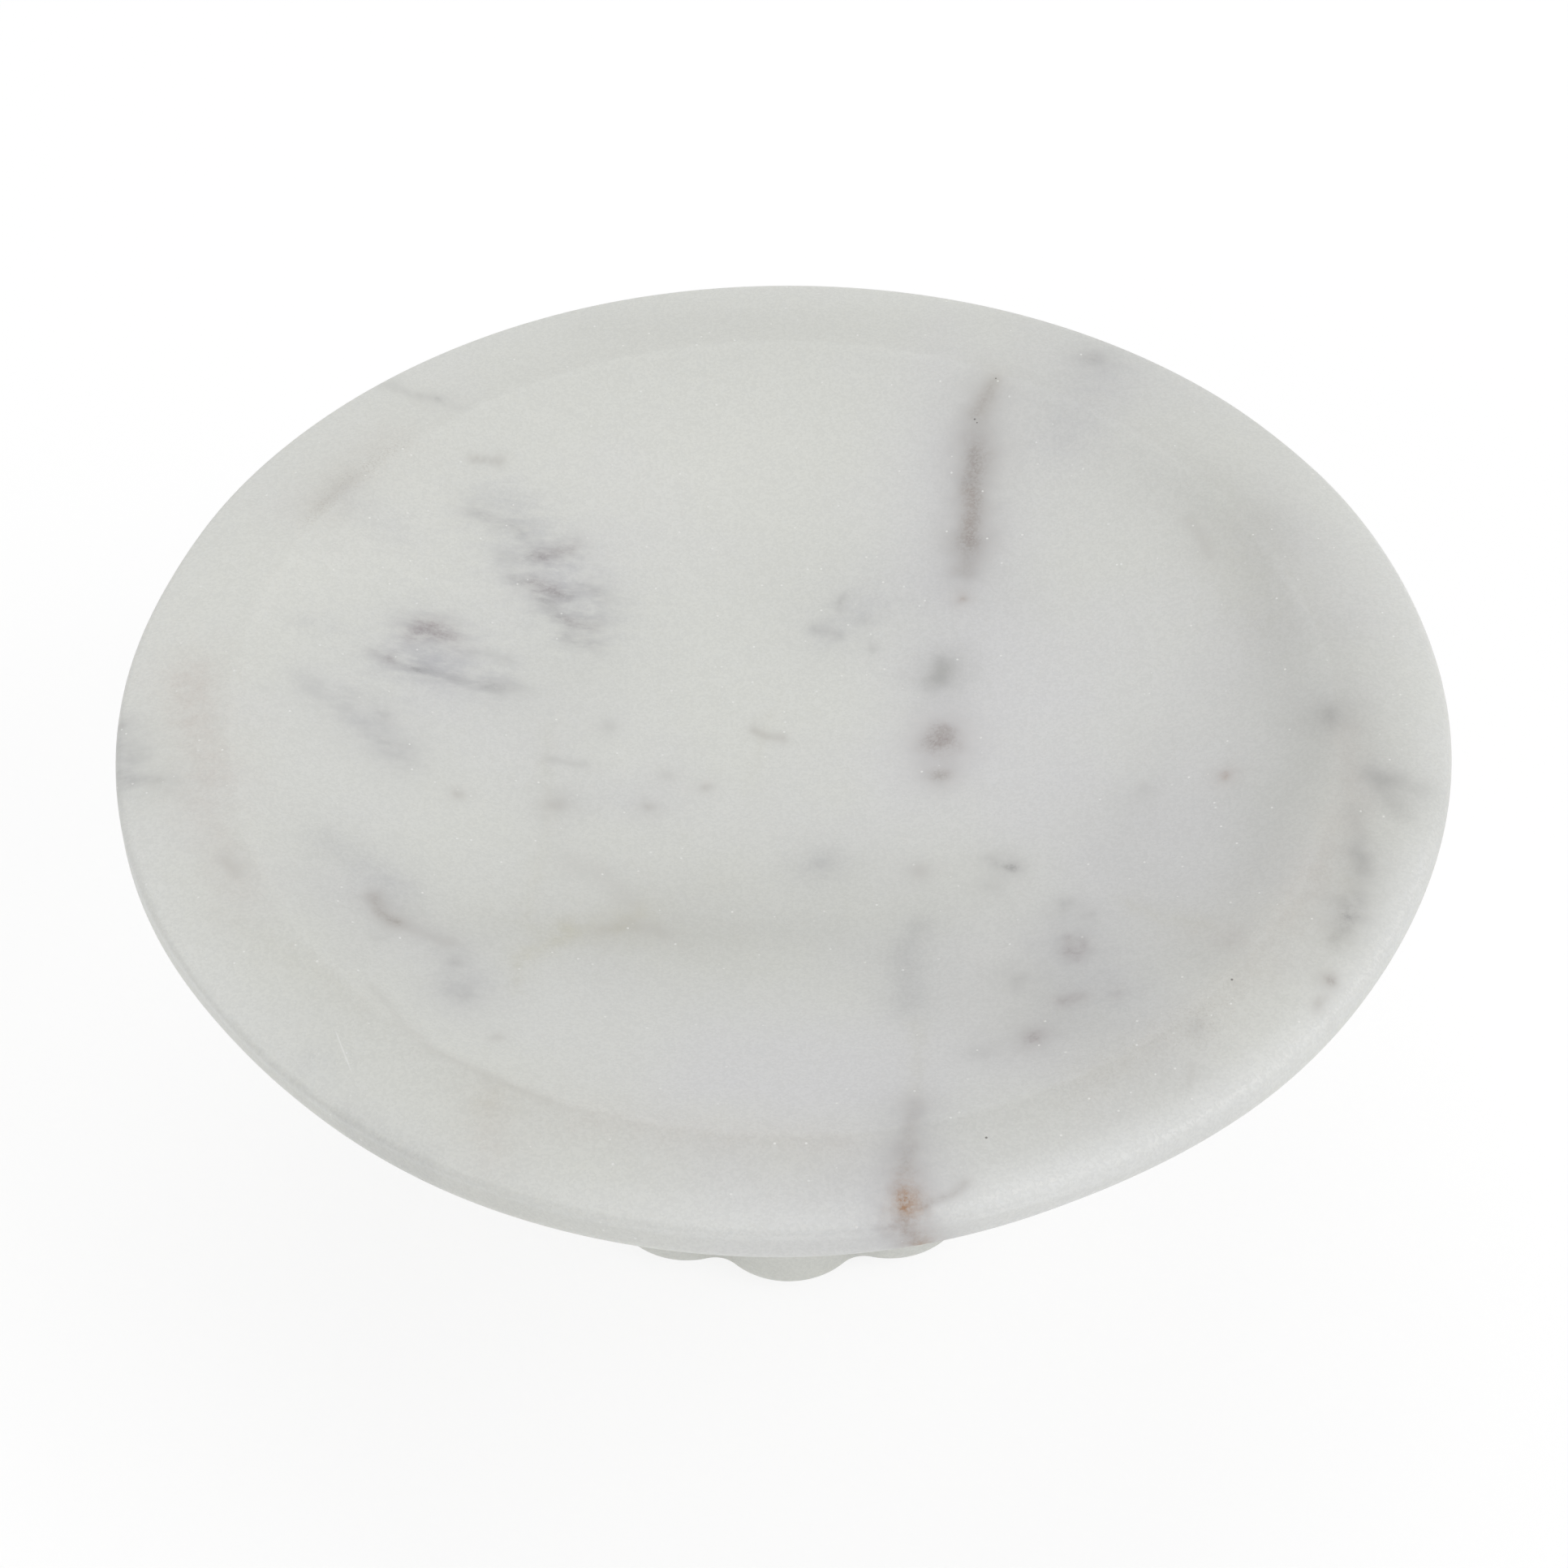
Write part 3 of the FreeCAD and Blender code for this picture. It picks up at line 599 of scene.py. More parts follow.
# Purplish hearts of veins and spots
PLUM = [
    # Far left of the well and its crest
    (0.7, 0.27, (-32.8, 11.9), (-31, 12.5), (-29.4, 11.8)), (0.45, 0.22, (-32, 13.4), (-30.6, 13.4)),
    (0.55, 0.26, (-21.9, 22.6), (-19.1, 24)), (0.6, 0.24, (-22.4, 19.4), (-20.4, 18.8)),
    (0.5, 0.18, (-18.8, 15.4), (-16.9, 14.9)), (0.5, 0.20, (-34.8, 8.6)),
    # Long vein, and the spots in front of it
    (1.0, 0.20, (13.8, 1.8), (13.6, 1.2)), (0.6, 0.18, (13.7, 1.3)),
    # Streak from the well out to the near rim
    (1.2, 0.14, (8.5, -57)),
    # Right crest and rim
    (0.7, 0.10, (36.1, -27.2)),
    # Right half of the well
    (0.35, 0.24, (23.1, -24.4), (23.1, -26.4)), (0.35, 0.26, (23.8, -27), (24.4, -25.2)),
    (0.45, 0.32, (21.9, -32.4), (23.4, -32.1)), (0.4, 0.18, (26.3, -32.2)), (0.6, 0.44, (19.6, -36.9)),
    (0.6, 0.24, (37.4, -7.1)),
]

# Brown veins and spots
UMBER = [
    # Left edge and rim
    (0.6, 0.16, (-46.1, -18), (-45, -19.5)),
    # Far left of the well and its crest
    (1.4, 0.05, (-39, 30), (-41.8, 25)), (0.3, 0.09, (-42, 24.7), (-40.5, 27.5), (-38.6, 29.3)),
    (0.35, 0.28, (-28, 33), (-26, 33)),
    # Long vein, and the spots in front of it
    (0.5, 0.20, (20, 42.2), (18.9, 40.4), (17.8, 38.8)), (1.6, 0.19, (18.9, 40.2), (18, 36)),
    (1.0, 0.52, (17.85, 34), (17.45, 30), (17.1, 25)), (1.0, 0.30, (16.9, 23.5), (16.4, 21.3)),
    (0.45, 0.34, (16, 17.9)), (0.9, 0.46, (13.2, -3.1)), (1.35, 0.50, (13.8, 1.8), (13.6, 1.2)),
    (0.8, 0.20, (11.3, -14.8)),
    # Streak from the well out to the near rim
    (0.8, 0.26, (9.9, -44.4), (9.4, -48.1), (9.1, -50.8)), (1.2, 0.14, (9.1, -50.8), (9.1, -54.2)),
    (0.4, 0.28, (10.4, -54.6), (12.4, -53.5), (13.3, -52.8)), (0.6, 0.26, (8.9, -55.6), (8.4, -57)),
    # Left and middle of the well
    (0.35, 0.24, (-2.7, 3.2), (-1.8, 2.5), (-0.1, 2.2)), (0.5, 0.28, (-27.7, -6.7)),
    (0.8, 0.24, (-19.4, -6.8)), (0.6, 0.28, (-11.5, -6.5)), (0.45, 0.28, (-6.6, -3.8)),
    (0.6, 0.16, (-10.2, -2.4)), (1.1, 0.09, (-18.1, -13.6), (-15.7, -14.8), (-12.9, -18.1)),
    # Broken vein on the near left
    (0.5, 0.36, (-34.1, -20.4), (-33.1, -22.2), (-32, -23.3)),
    (0.7, 0.17, (-32, -23.3), (-29.9, -24.4), (-27.6, -25.1)),
    # Near part of the well
    (0.9, 0.14, (-15.1, -21.8), (-12.8, -21.1), (-10.5, -22)), (0.4, 0.24, (-23, -36.6)),
    # Right crest and rim
    (0.5, 0.55, (43.4, -32.4)), (0.35, 0.28, (42.6, -34.4), (42.4, -35.4)),
    (0.5, 0.12, (36.5, 23.5), (38, 19)),
    # Near rim and crest
    (0.35, 0.10, (31.6, -41.4), (31.2, -43)),
    (0.3, 0.11, (-33.4, -31.9), (-30.5, -36.2), (-27.4, -39.2), (-23.5, -41.7), (-18.4, -44.5)),
]

# The rust spot on the near rim, and traces of rust elsewhere
RUST = [
    (0.55, 0.84, (9.1, -54.2), (9.1, -54.9)), (0.4, 0.22, (8.5, -57)),
    (0.7, 0.12, (9.1, -51.5), (9.1, -53)), (0.4, 0.14, (16, 17.9)), (0.4, 0.06, (17.2, 30), (16.9, 26)),
    (0.6, 0.16, (37.4, -7.3)),
]

# Coarse stone along the crest, where grit is caught
GRIT = [
    (2.2, 1.0, (21.9, -43.8), (28.4, -39), (32.4, -36.6)),
    (1.6, 0.8, (32.4, -36.6), (38.4, -30.2), (43.5, -20)),
    (1.8, 0.5, (-36, -31), (-27, -41), (-13, -47)),
    (0.9, 2.2, (-42.4, 23.5), (-39.4, 29), (-35.2, 33.1)), (1.2, 0.5, (46.5, -18), (44.5, -28)),
]

# The two tones of the ground, how far the texture is moved in this block, and the seed of its waves.
DISH_GROUND = (colour(214, 215, 210), colour(212, 212, 212))
DISH_SHIFT = (0.0, 0.0, 0.0)
DISH_SEED = 10

# Pits are (x, y, radius), and the scratch is one straight pale line across the rim, all in mm.
PITS = [(15.3, -48.2, 0.10), (35.6, -32.3, 0.10), (20.0, 42.3, 0.07), (17.9, 38.1, 0.09), (18.1, 37.7, 0.07)]
PIT_FADE = (0.6, 1.4)
SCRATCH_START = (-35.9, -36.3)
SCRATCH_END = (-34.1, -41.2)
SCRATCH_WIDTH = 0.09
SCRATCH_CORE = 0.3
SCRATCH_FADE = (0.3, 0.5)


def pitted(tree, stone):
    """How much of a pit lies at a place, from 0 to 1."""
    total = 0.0
    flat = vectors(tree, "MULTIPLY", stone, (1.0, 1.0, 0.0)).outputs[0]
    for x, y, radius in PITS:
        away = vectors(tree, "DISTANCE", flat, (x * MM, y * MM, 0.0)).outputs["Value"]
        deep = ramp(tree, away, PIT_FADE[0] * radius * MM, PIT_FADE[1] * radius * MM, 1.0, 0.0)
        total = maths(tree, "MAXIMUM", deep, total)
    return total


def scratched(tree, stone):
    """How much of the scratch lies at a place, from 0 to 1."""
    start = Vector(SCRATCH_START) * MM
    run = Vector(SCRATCH_END) * MM - start
    width = SCRATCH_WIDTH * MM
    turn = -math.atan2(run.y, run.x)
    moved = vectors(tree, "SUBTRACT", stone, (start.x, start.y, 0.0)).outputs[0]
    laid = node(tree, "Mapping", {"Vector": moved, "Rotation": (0.0, 0.0, turn)}).outputs[0]
    split = node(tree, "SeparateXYZ", {0: laid})
    aside = maths(tree, "ABSOLUTE", split.outputs[1])
    across = ramp(tree, aside, SCRATCH_CORE * width, width, 1.0, 0.0)
    from_middle = maths(tree, "ABSOLUTE", maths(tree, "SUBTRACT", split.outputs[0], run.length / 2))
    along = ramp(tree, from_middle, SCRATCH_FADE[0] * run.length, SCRATCH_FADE[1] * run.length, 1.0, 0.0)
    return maths(tree, "MULTIPLY", across, along)


# Tints of what lies in the stone, and of painted shade, in the order in which they are laid over its ground.
VEIN_TINTS = {
    "pale": colour(228, 228, 222), "haze_and_shade": colour(172, 172, 169), "blush": colour(188, 173, 166),
    "straw": colour(186, 183, 162), "smoke": colour(163, 164, 173), "slate": colour(142, 140, 140),
    "plum": colour(126, 108, 112), "umber": colour(134, 123, 117), "rust": colour(158, 122, 90),
}
# A darker tint for the coarser rim, and for painted shade on the rim and in the grooves of the foot
COARSE_AND_SHADE_TINT = colour(184, 184, 178)
COARSE_AND_SHADE_SHARE = 0.20
# Painted light on the outer rim and the edge
PAINTED_EDGE_LIGHT_TINT = colour(232, 233, 232)
PAINTED_EDGE_LIGHT_SHARE = 0.40
GRIT_TINT = colour(160, 151, 140)
GRIT_SHARE = 0.16
SCUFF_TINT = colour(232, 232, 230)
SCRATCH_SHARE = 0.5
BRUISE_SHARES = (0.05, 0.4)
PIT_TINT = colour(70, 62, 58)
PIT_SHARE = 0.8
# Painted glints on a few crystals
PAINTED_GLINT_TINT = colour(238, 238, 236)
PAINTED_GLINT_SHARE = 0.7

# Sizes of what the eye sees as texture, and how far each one changes the depth or the tone.
CRYSTAL_SIZE = 0.2 * MM
CRYSTAL_DEPTHS = (0.75, 1.25)
CRYSTAL_TONES = (0.965, 1.03)
MOTTLE_SIZE = 1.1 * MM
MOTTLE_DEPTHS = (0.68, 1.32)
STREAK_SIZE = 1.3 * MM
STREAK_DEPTHS = (0.5, 1.45)
CLOUD_MIDDLE = (0.32, 0.68)
BED_TURN = math.radians(16)
BED_STRETCH = (0.45, 1.0, 1.0)
SPECK_SIZE = 0.2 * MM
SPECK_LIMITS = (0.48, 0.70)
BRUISED_CRYSTALS = (0.3, 0.9)
# Where the painted glints lie, how many and how big they are, and how much glossier
PAINTED_GLINT_SPACING = 0.6 * MM
LUCKY_PAINTED_GLINTS = (0.95, 0.98)
PAINTED_GLINT_SIZES = (0.12, 0.22)
PAINTED_GLINT_GLOSS = 0.2
HONED_ROUGHNESS = (0.44, 0.52)
MARBLE_IOR = 1.5
LIGHT_REACH = 1.2 * MM
LIGHT_TINT = (1.0, 0.95, 0.85)
LIGHT_SHARE = 0.3
EGGSHELL_SIZE = 0.22 * MM
EGGSHELL_HEIGHT = 0.03 * MM
EGGSHELL_STRENGTH = 0.15


def new_material(name):
    """A new material, the tree of its nodes, and the shader that takes its colour and finish."""
    material = bpy.data.materials.new(name)
    material.use_nodes = True
    return material, material.node_tree, material.node_tree.nodes["Principled BSDF"]


def marble(name, shift, ground, marked):
    """Honed white marble, with its ground, its veins, its crystals and its fine surface."""
    material, tree, shader = new_material(name)
    stone = node(tree, "TexCoord", {}).outputs["Object"]
    place = vectors(tree, "ADD", stone, shift).outputs[0]

    def laid(kind):
        return node(tree, "Attribute", {}, attribute_name=kind).outputs["Fac"]

    # The ground drifts between a greenish cream and a cooler white
    cool = maths(tree, "ADD", laid("cool"), 0.0, clamp=True)
    surface = blend(tree, cool, *ground)

    # Some places were left a little coarser by the tool, with painted shade on the rim and in the foot's
    # grooves, and light is painted on the outer rim and the edge
    surface = blend(tree, maths(tree, "MULTIPLY", laid("coarse_and_shade"), COARSE_AND_SHADE_SHARE), surface, COARSE_AND_SHADE_TINT)
    surface = blend(tree, maths(tree, "MULTIPLY", laid("painted_edge_light"), PAINTED_EDGE_LIGHT_SHARE), surface, PAINTED_EDGE_LIGHT_TINT)

    # Veins are mottled, streaked where the bed of the stone shows, and sandy with crystals
    grains = node(tree, "TexVoronoi", {"Vector": place, "Scale": 1 / CRYSTAL_SIZE})
    grain = node(tree, "SeparateColor", {0: grains.outputs["Color"]}).outputs[0]
    sandy = ramp(tree, grain, 0.0, 1.0, *CRYSTAL_DEPTHS)
    blobs = cloud(tree, place, MOTTLE_SIZE, detail=5, roughness=0.7)
    mottle = ramp(tree, blobs, *CLOUD_MIDDLE, *MOTTLE_DEPTHS)
    bed = node(tree, "Mapping", {"Vector": place, "Rotation": (0.0, 0.0, BED_TURN), "Scale": BED_STRETCH})
    lines = cloud(tree, bed.outputs[0], STREAK_SIZE, detail=5, roughness=0.7)
    streak = ramp(tree, lines, *CLOUD_MIDDLE, *STREAK_DEPTHS)
    bedded = maths(tree, "MINIMUM", laid("bedded"), 1.0)
    feathered = node(tree, "Mix", {0: bedded, 2: mottle, 3: streak}).outputs[0]
    grainy = maths(tree, "MULTIPLY", feathered, sandy)
    textures = {"blush": mottle, "straw": mottle, "smoke": feathered, "slate": grainy, "plum": grainy,
                "umber": sandy, "rust": grainy}
    for kind, tint in VEIN_TINTS.items():
        depth = laid(kind)
        if kind in textures:
            depth = maths(tree, "MULTIPLY", depth, textures[kind])
        surface = blend(tree, maths(tree, "MINIMUM", depth, 1.0), surface, tint)

    # Grit caught in the coarse stone along the crest, pits, a scratch and a bruised edge
    specks = ramp(tree, cloud(tree, place, SPECK_SIZE, detail=3, roughness=0.7), *SPECK_LIMITS)
    gritty = maths(tree, "MULTIPLY", maths(tree, "MULTIPLY", specks, laid("grit")), GRIT_SHARE)
    surface = blend(tree, maths(tree, "MINIMUM", gritty, 1.0), surface, GRIT_TINT)
    if marked:
        crushed = ramp(tree, grain, *BRUISED_CRYSTALS, *BRUISE_SHARES)
        bruise = maths(tree, "MULTIPLY", laid("bruised"), crushed)
        scratch = maths(tree, "MULTIPLY", scratched(tree, stone), SCRATCH_SHARE)
        surface = blend(tree, maths(tree, "MAXIMUM", bruise, scratch), surface, SCUFF_TINT)
        pit = maths(tree, "MULTIPLY", pitted(tree, stone), PIT_SHARE)
        surface = blend(tree, pit, surface, PIT_TINT)

    # Sugar-sized crystals: a slight change of tone from one to the next, and painted glints, a few crystals
    # painted lighter as if they caught the light
    tone = ramp(tree, grain, 0.0, 1.0, *CRYSTAL_TONES)
    toned = node(tree, "CombineColor", {0: tone, 1: tone, 2: tone}).outputs[0]
    surface = blend(tree, 1.0, surface, toned, "MULTIPLY")
    glint_cells = node(tree, "TexVoronoi", {"Vector": place, "Scale": 1 / PAINTED_GLINT_SPACING})
    chance = node(tree, "SeparateColor", {0: glint_cells.outputs["Color"]}).outputs[1]
    lucky = ramp(tree, chance, *LUCKY_PAINTED_GLINTS)
    small = ramp(tree, glint_cells.outputs["Distance"], *PAINTED_GLINT_SIZES, 1.0, 0.0)
    painted_glint = maths(tree, "MULTIPLY", lucky, small)
    surface = blend(tree, maths(tree, "MULTIPLY", painted_glint, PAINTED_GLINT_SHARE), surface, PAINTED_GLINT_TINT)

    tree.links.new(surface, shader.inputs["Base Color"])
    matt = ramp(tree, mottle, *MOTTLE_DEPTHS, *HONED_ROUGHNESS)
    rough = maths(tree, "SUBTRACT", matt, maths(tree, "MULTIPLY", painted_glint, PAINTED_GLINT_GLOSS))
    tree.links.new(rough, shader.inputs["Roughness"])
    shader.inputs["IOR"].default_value = MARBLE_IOR
    shader.inputs["Subsurface Weight"].default_value = LIGHT_SHARE
    shader.inputs["Subsurface Radius"].default_value = LIGHT_TINT
    shader.inputs["Subsurface Scale"].default_value = LIGHT_REACH

    # The honing left a skin as fine as eggshell
    fine = cloud(tree, place, EGGSHELL_SIZE, detail=1)
    bump = node(tree, "Bump", {"Height": fine, "Strength": EGGSHELL_STRENGTH, "Distance": EGGSHELL_HEIGHT})
    tree.links.new(bump.outputs[0], shader.inputs["Normal"])
    return material


dish = make_dish()
dish_veins = {"cool": COOL, "bedded": BEDDED, "pale": PALE, "haze_and_shade": HAZE_AND_SHADE, "blush": BLUSH, "straw": STRAW,
              "smoke": SMOKE, "slate": SLATE, "plum": PLUM, "umber": UMBER, "rust": RUST, "grit": GRIT}
lay_veins(dish, dish_veins, DISH_SEED, lambda radius: dish_top(np.minimum(radius, DISH_RADIUS)))
lay_rim_tone_and_light(dish)
dish.data.materials.append(marble("dish_marble", DISH_SHIFT, DISH_GROUND, marked=True))
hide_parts("dish")
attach(dish, "root")


# Locating pin
# A ground steel dowel, which stands in the blind holes of both stones and centres them.
# It stays as the solid it is, and the stones hide it.

STEEL_TINTS = (colour(150, 151, 154), colour(196, 197, 199))
STEEL_ROUGHNESS = (0.22, 0.38)
GRINDING_SIZE = 0.6 * MM
GRINDING_STRETCH = (0.2, 0.2, 6.0)


def ground_steel():
    material, tree, shader = new_material("pin_steel")
    place = node(tree, "TexCoord", {}).outputs["Object"]
    stretched = node(tree, "Mapping", {"Vector": place, "Scale": GRINDING_STRETCH}).outputs[0]
    lines = cloud(tree, stretched, GRINDING_SIZE, detail=4)
    tree.links.new(blend(tree, lines, *STEEL_TINTS), shader.inputs["Base Color"])
    tree.links.new(ramp(tree, lines, 0.2, 0.8, *STEEL_ROUGHNESS), shader.inputs["Roughness"])
    shader.inputs["Metallic"].default_value = 1.0
    return material


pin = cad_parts["locating_pin"]
pin.data.materials.clear()
pin.data.materials.append(ground_steel())


# Epoxy bond
# A thin washer of cured epoxy in the pocket on top of the foot, round the pin.
# It is poured and pressed flat between the two stones, which hide it.

EPOXY_TINTS = (colour(226, 221, 202), colour(208, 198, 168))
EPOXY_ROUGHNESS = (0.18, 0.32)
MILKY_SIZE = 4 * MM


def cured_epoxy():
    material, tree, shader = new_material("cured_epoxy")
    place = node(tree, "TexCoord", {}).outputs["Object"]
    milky = cloud(tree, place, MILKY_SIZE, detail=4)
    tree.links.new(blend(tree, milky, *EPOXY_TINTS), shader.inputs["Base Color"])
    tree.links.new(ramp(tree, milky, 0.3, 0.7, *EPOXY_ROUGHNESS), shader.inputs["Roughness"])
    return material


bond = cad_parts["epoxy_bond"]
bond.data.materials.clear()
bond.data.materials.append(cured_epoxy())


# Fluted foot
# A second block of the same marble, tapered and carved into rounded lobes with soft grooves.
# Its top has the pocket for the epoxy and the blind hole for the pin, and is bonded under the dish.

FOOT_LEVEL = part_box("fluted_foot")[0].z
LOBES = 12
FOOT_TOP_WIDTH = 45.0 * MM
FOOT_BOTTOM_WIDTH = 50.8 * MM
FOOT_RADIUS = FOOT_BOTTOM_WIDTH / 2
TOP_SHARE = FOOT_TOP_WIDTH / FOOT_BOTTOM_WIDTH
LOBE_ROUND = 7.0 * MM
GROOVE_ROUND = 2.6 * MM
FOOT_EDGE_ROUND = 0.4 * MM
POCKET_RADIUS = 17.0 * MM
POCKET_DEPTH = 0.3 * MM
FOOT_HOLE_DEPTH = 10.3 * MM

# Sides round one lobe, and rings of points from the top down to the underside.
LOBE_SIDES = 48
FOOT_TOP_RINGS = (0.9, 0.96, 0.99, 1.0)
FOOT_SIDE_RINGS = 43
FOOT_EDGE_RINGS = 7
FOOT_BOTTOM_RINGS = (0.85, 0.5, 0.2)


def lobed_radius(angles):
    """Radius of the foot's bottom outline: lobe arcs joined by groove arcs that touch them smoothly."""
    half = math.pi / LOBES
    lobe_middle = FOOT_RADIUS - LOBE_ROUND
    reach = LOBE_ROUND + GROOVE_ROUND
    lobe_aside = lobe_middle * math.sin(half)
    groove_middle = lobe_middle * math.cos(half) + math.sqrt(reach ** 2 - lobe_aside ** 2)
    turned = np.abs(np.angle(np.exp(1j * LOBES * (angles + math.pi / 2)))) / LOBES
    on_lobe = lobe_middle * np.cos(turned) + np.sqrt(
        np.maximum(LOBE_ROUND ** 2 - (lobe_middle * np.sin(turned)) ** 2, 0))
    aside = half - turned
    in_groove = groove_middle * np.cos(aside) - np.sqrt(
        np.maximum(GROOVE_ROUND ** 2 - (groove_middle * np.sin(aside)) ** 2, 0))
    groove = np.array([groove_middle * math.sin(half), groove_middle * math.cos(half)])
    touch = np.array([0, lobe_middle]) + (groove - np.array([0, lobe_middle])) * LOBE_ROUND / reach
    return np.where(turned < math.atan2(touch[0], touch[1]), on_lobe, in_groove)


def make_foot():
    angles = np.linspace(0, 2 * math.pi, LOBES * LOBE_SIDES, endpoint=False)
    outline = lobed_radius(angles)
    directions = np.column_stack([np.cos(angles), np.sin(angles)])

    def ring(radii, level):
        return np.column_stack([directions * np.broadcast_to(radii, angles.shape)[:, None],
                                np.full(len(angles), level)])

    def taper(level):
        return TOP_SHARE + (1 - TOP_SHARE) * (SEAT_LEVEL - level) / (SEAT_LEVEL - FOOT_LEVEL)

    rings = [ring(PIN_HOLE_RADIUS, SEAT_LEVEL - FOOT_HOLE_DEPTH),
             ring(PIN_HOLE_RADIUS, SEAT_LEVEL - POCKET_DEPTH),
             ring(POCKET_RADIUS, SEAT_LEVEL - POCKET_DEPTH),
             ring(POCKET_RADIUS, SEAT_LEVEL)]
    rings += [ring(outline * TOP_SHARE * share, SEAT_LEVEL) for share in FOOT_TOP_RINGS]
    edge_start = FOOT_LEVEL + FOOT_EDGE_ROUND
    for level in np.linspace(SEAT_LEVEL, edge_start, FOOT_SIDE_RINGS + 1)[1:]:
        rings.append(ring(outline * taper(level), level))
    for turn in np.linspace(0, math.pi / 2, FOOT_EDGE_RINGS + 1)[1:]:
        inset = FOOT_EDGE_ROUND * (1 - math.cos(turn))
        level = edge_start - FOOT_EDGE_ROUND * math.sin(turn)
        rings.append(ring(outline * taper(edge_start) - inset, level))
    rings += [ring(outline * share, FOOT_LEVEL) for share in FOOT_BOTTOM_RINGS]
    poles = [(0, 0, SEAT_LEVEL - FOOT_HOLE_DEPTH), (0, 0, FOOT_LEVEL)]
    return skin("marble_foot", rings, poles)


# How much painted shade lies in the grooves, how that grows with their depth, and where the side starts.
GROOVE_SHADE = 1.5
GROOVE_SHADE_POWER = 1.5
FOOT_SIDE_STARTS = (0.75, 0.85)


def lay_groove_shade(piece):
    """Stores painted shade in the grooves of the foot, darker where they are deeper, so that the lobes stand
    out.
    """
    points = mesh_points(piece)
    outline = lobed_radius(np.arctan2(points[:, 1], points[:, 0]))
    deepest = FOOT_RADIUS - lobed_radius(np.linspace(0, 2 * math.pi, 720)).min()
    depth = (FOOT_RADIUS - outline) / deepest
    side = smoothstep(*FOOT_SIDE_STARTS, np.hypot(points[:, 0], points[:, 1]) / outline)
    store(piece, "coarse_and_shade", GROOVE_SHADE * side * depth ** GROOVE_SHADE_POWER)


# The veins of the foot, written like those of the dish, at the level of its top.
FOOT_SMOKE = [(3.0, 0.30, (8, 18), (20, 2)), (3.0, 0.28, (-30, 10), (-16, 25))]
FOOT_SLATE = [(0.6, 0.36, (8, 15), (15, 9), (23, 7)), (0.5, 0.32, (-28, 12), (-22, 17), (-19, 25)),
              (0.5, 0.28, (-33, 1), (-24, 6)), (0.4, 0.24, (4, 21), (9, 19))]
FOOT_UMBER = [(0.4, 0.30, (-13, 29), (-7, 25), (-2, 25)), (0.35, 0.26, (19, -2), (14, -8))]
# The foot's ground is a little paler than the dish's: painted light against the shade under the dish.
FOOT_GROUND = (colour(217, 218, 213), colour(214, 214, 214))
FOOT_SHIFT = (0.31, 0.217, 0.0)
FOOT_SEED = 20

foot = make_foot()
foot_veins = {"cool": FOOT_SMOKE, "smoke": FOOT_SMOKE, "slate": FOOT_SLATE, "umber": FOOT_UMBER}
lay_veins(foot, foot_veins, FOOT_SEED, lambda radius: SEAT_LEVEL)
lay_groove_shade(foot)
foot.data.materials.append(marble("foot_marble", FOOT_SHIFT, FOOT_GROUND, marked=False))
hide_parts("fluted_foot")
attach(foot, "root")


# Felt dots
# Die-cut discs of pressed wool felt, stuck under the foot so that the stone doesn't scratch a table.
# Their lower edge is worn round, and their side and lower face are a little frayed.

DOT_EDGE_ROUND = 0.3 * MM
DOT_FUZZ = 0.05 * MM
FRAY_STARTS = 0.9
DOT_SIDES = 96
DOT_TOP_RINGS = (0.3, 0.6, 0.85, 0.96, 1.0)
DOT_SIDE_RINGS = 5
DOT_EDGE_RINGS = 5
DOT_BOTTOM_RINGS = (0.9, 0.75, 0.55, 0.35, 0.15)
FELT_TINTS = (colour(168, 164, 156), colour(206, 202, 194))
FELT_ROUGHNESS = 0.95
FELT_SHEEN = 0.4
MATTED_SIZE = 0.5 * MM
FIBRE_HEIGHT = 0.08 * MM
FIBRE_STRENGTH = 0.8
FIBRE_WAVES = {"Scale": 900.0, "Distortion": 14.0, "Detail": 4.0, "Detail Scale": 2.0}
felt_draws = np.random.default_rng(3)


def pressed_felt():
    material, tree, shader = new_material("pressed_felt")
    place = node(tree, "TexCoord", {}).outputs["Object"]
    matted = cloud(tree, place, MATTED_SIZE, detail=6, roughness=0.7)
    strands = node(tree, "TexWave", {"Vector": place, **FIBRE_WAVES})
    fibre = maths(tree, "MULTIPLY", matted, strands.outputs["Fac"])
    tree.links.new(blend(tree, ramp(tree, fibre, 0.1, 0.6), *FELT_TINTS), shader.inputs["Base Color"])
    shader.inputs["Roughness"].default_value = FELT_ROUGHNESS
    shader.inputs["Sheen Weight"].default_value = FELT_SHEEN
    bump = node(tree, "Bump", {"Height": fibre, "Strength": FIBRE_STRENGTH, "Distance": FIBRE_HEIGHT})
    tree.links.new(bump.outputs[0], shader.inputs["Normal"])
    return material


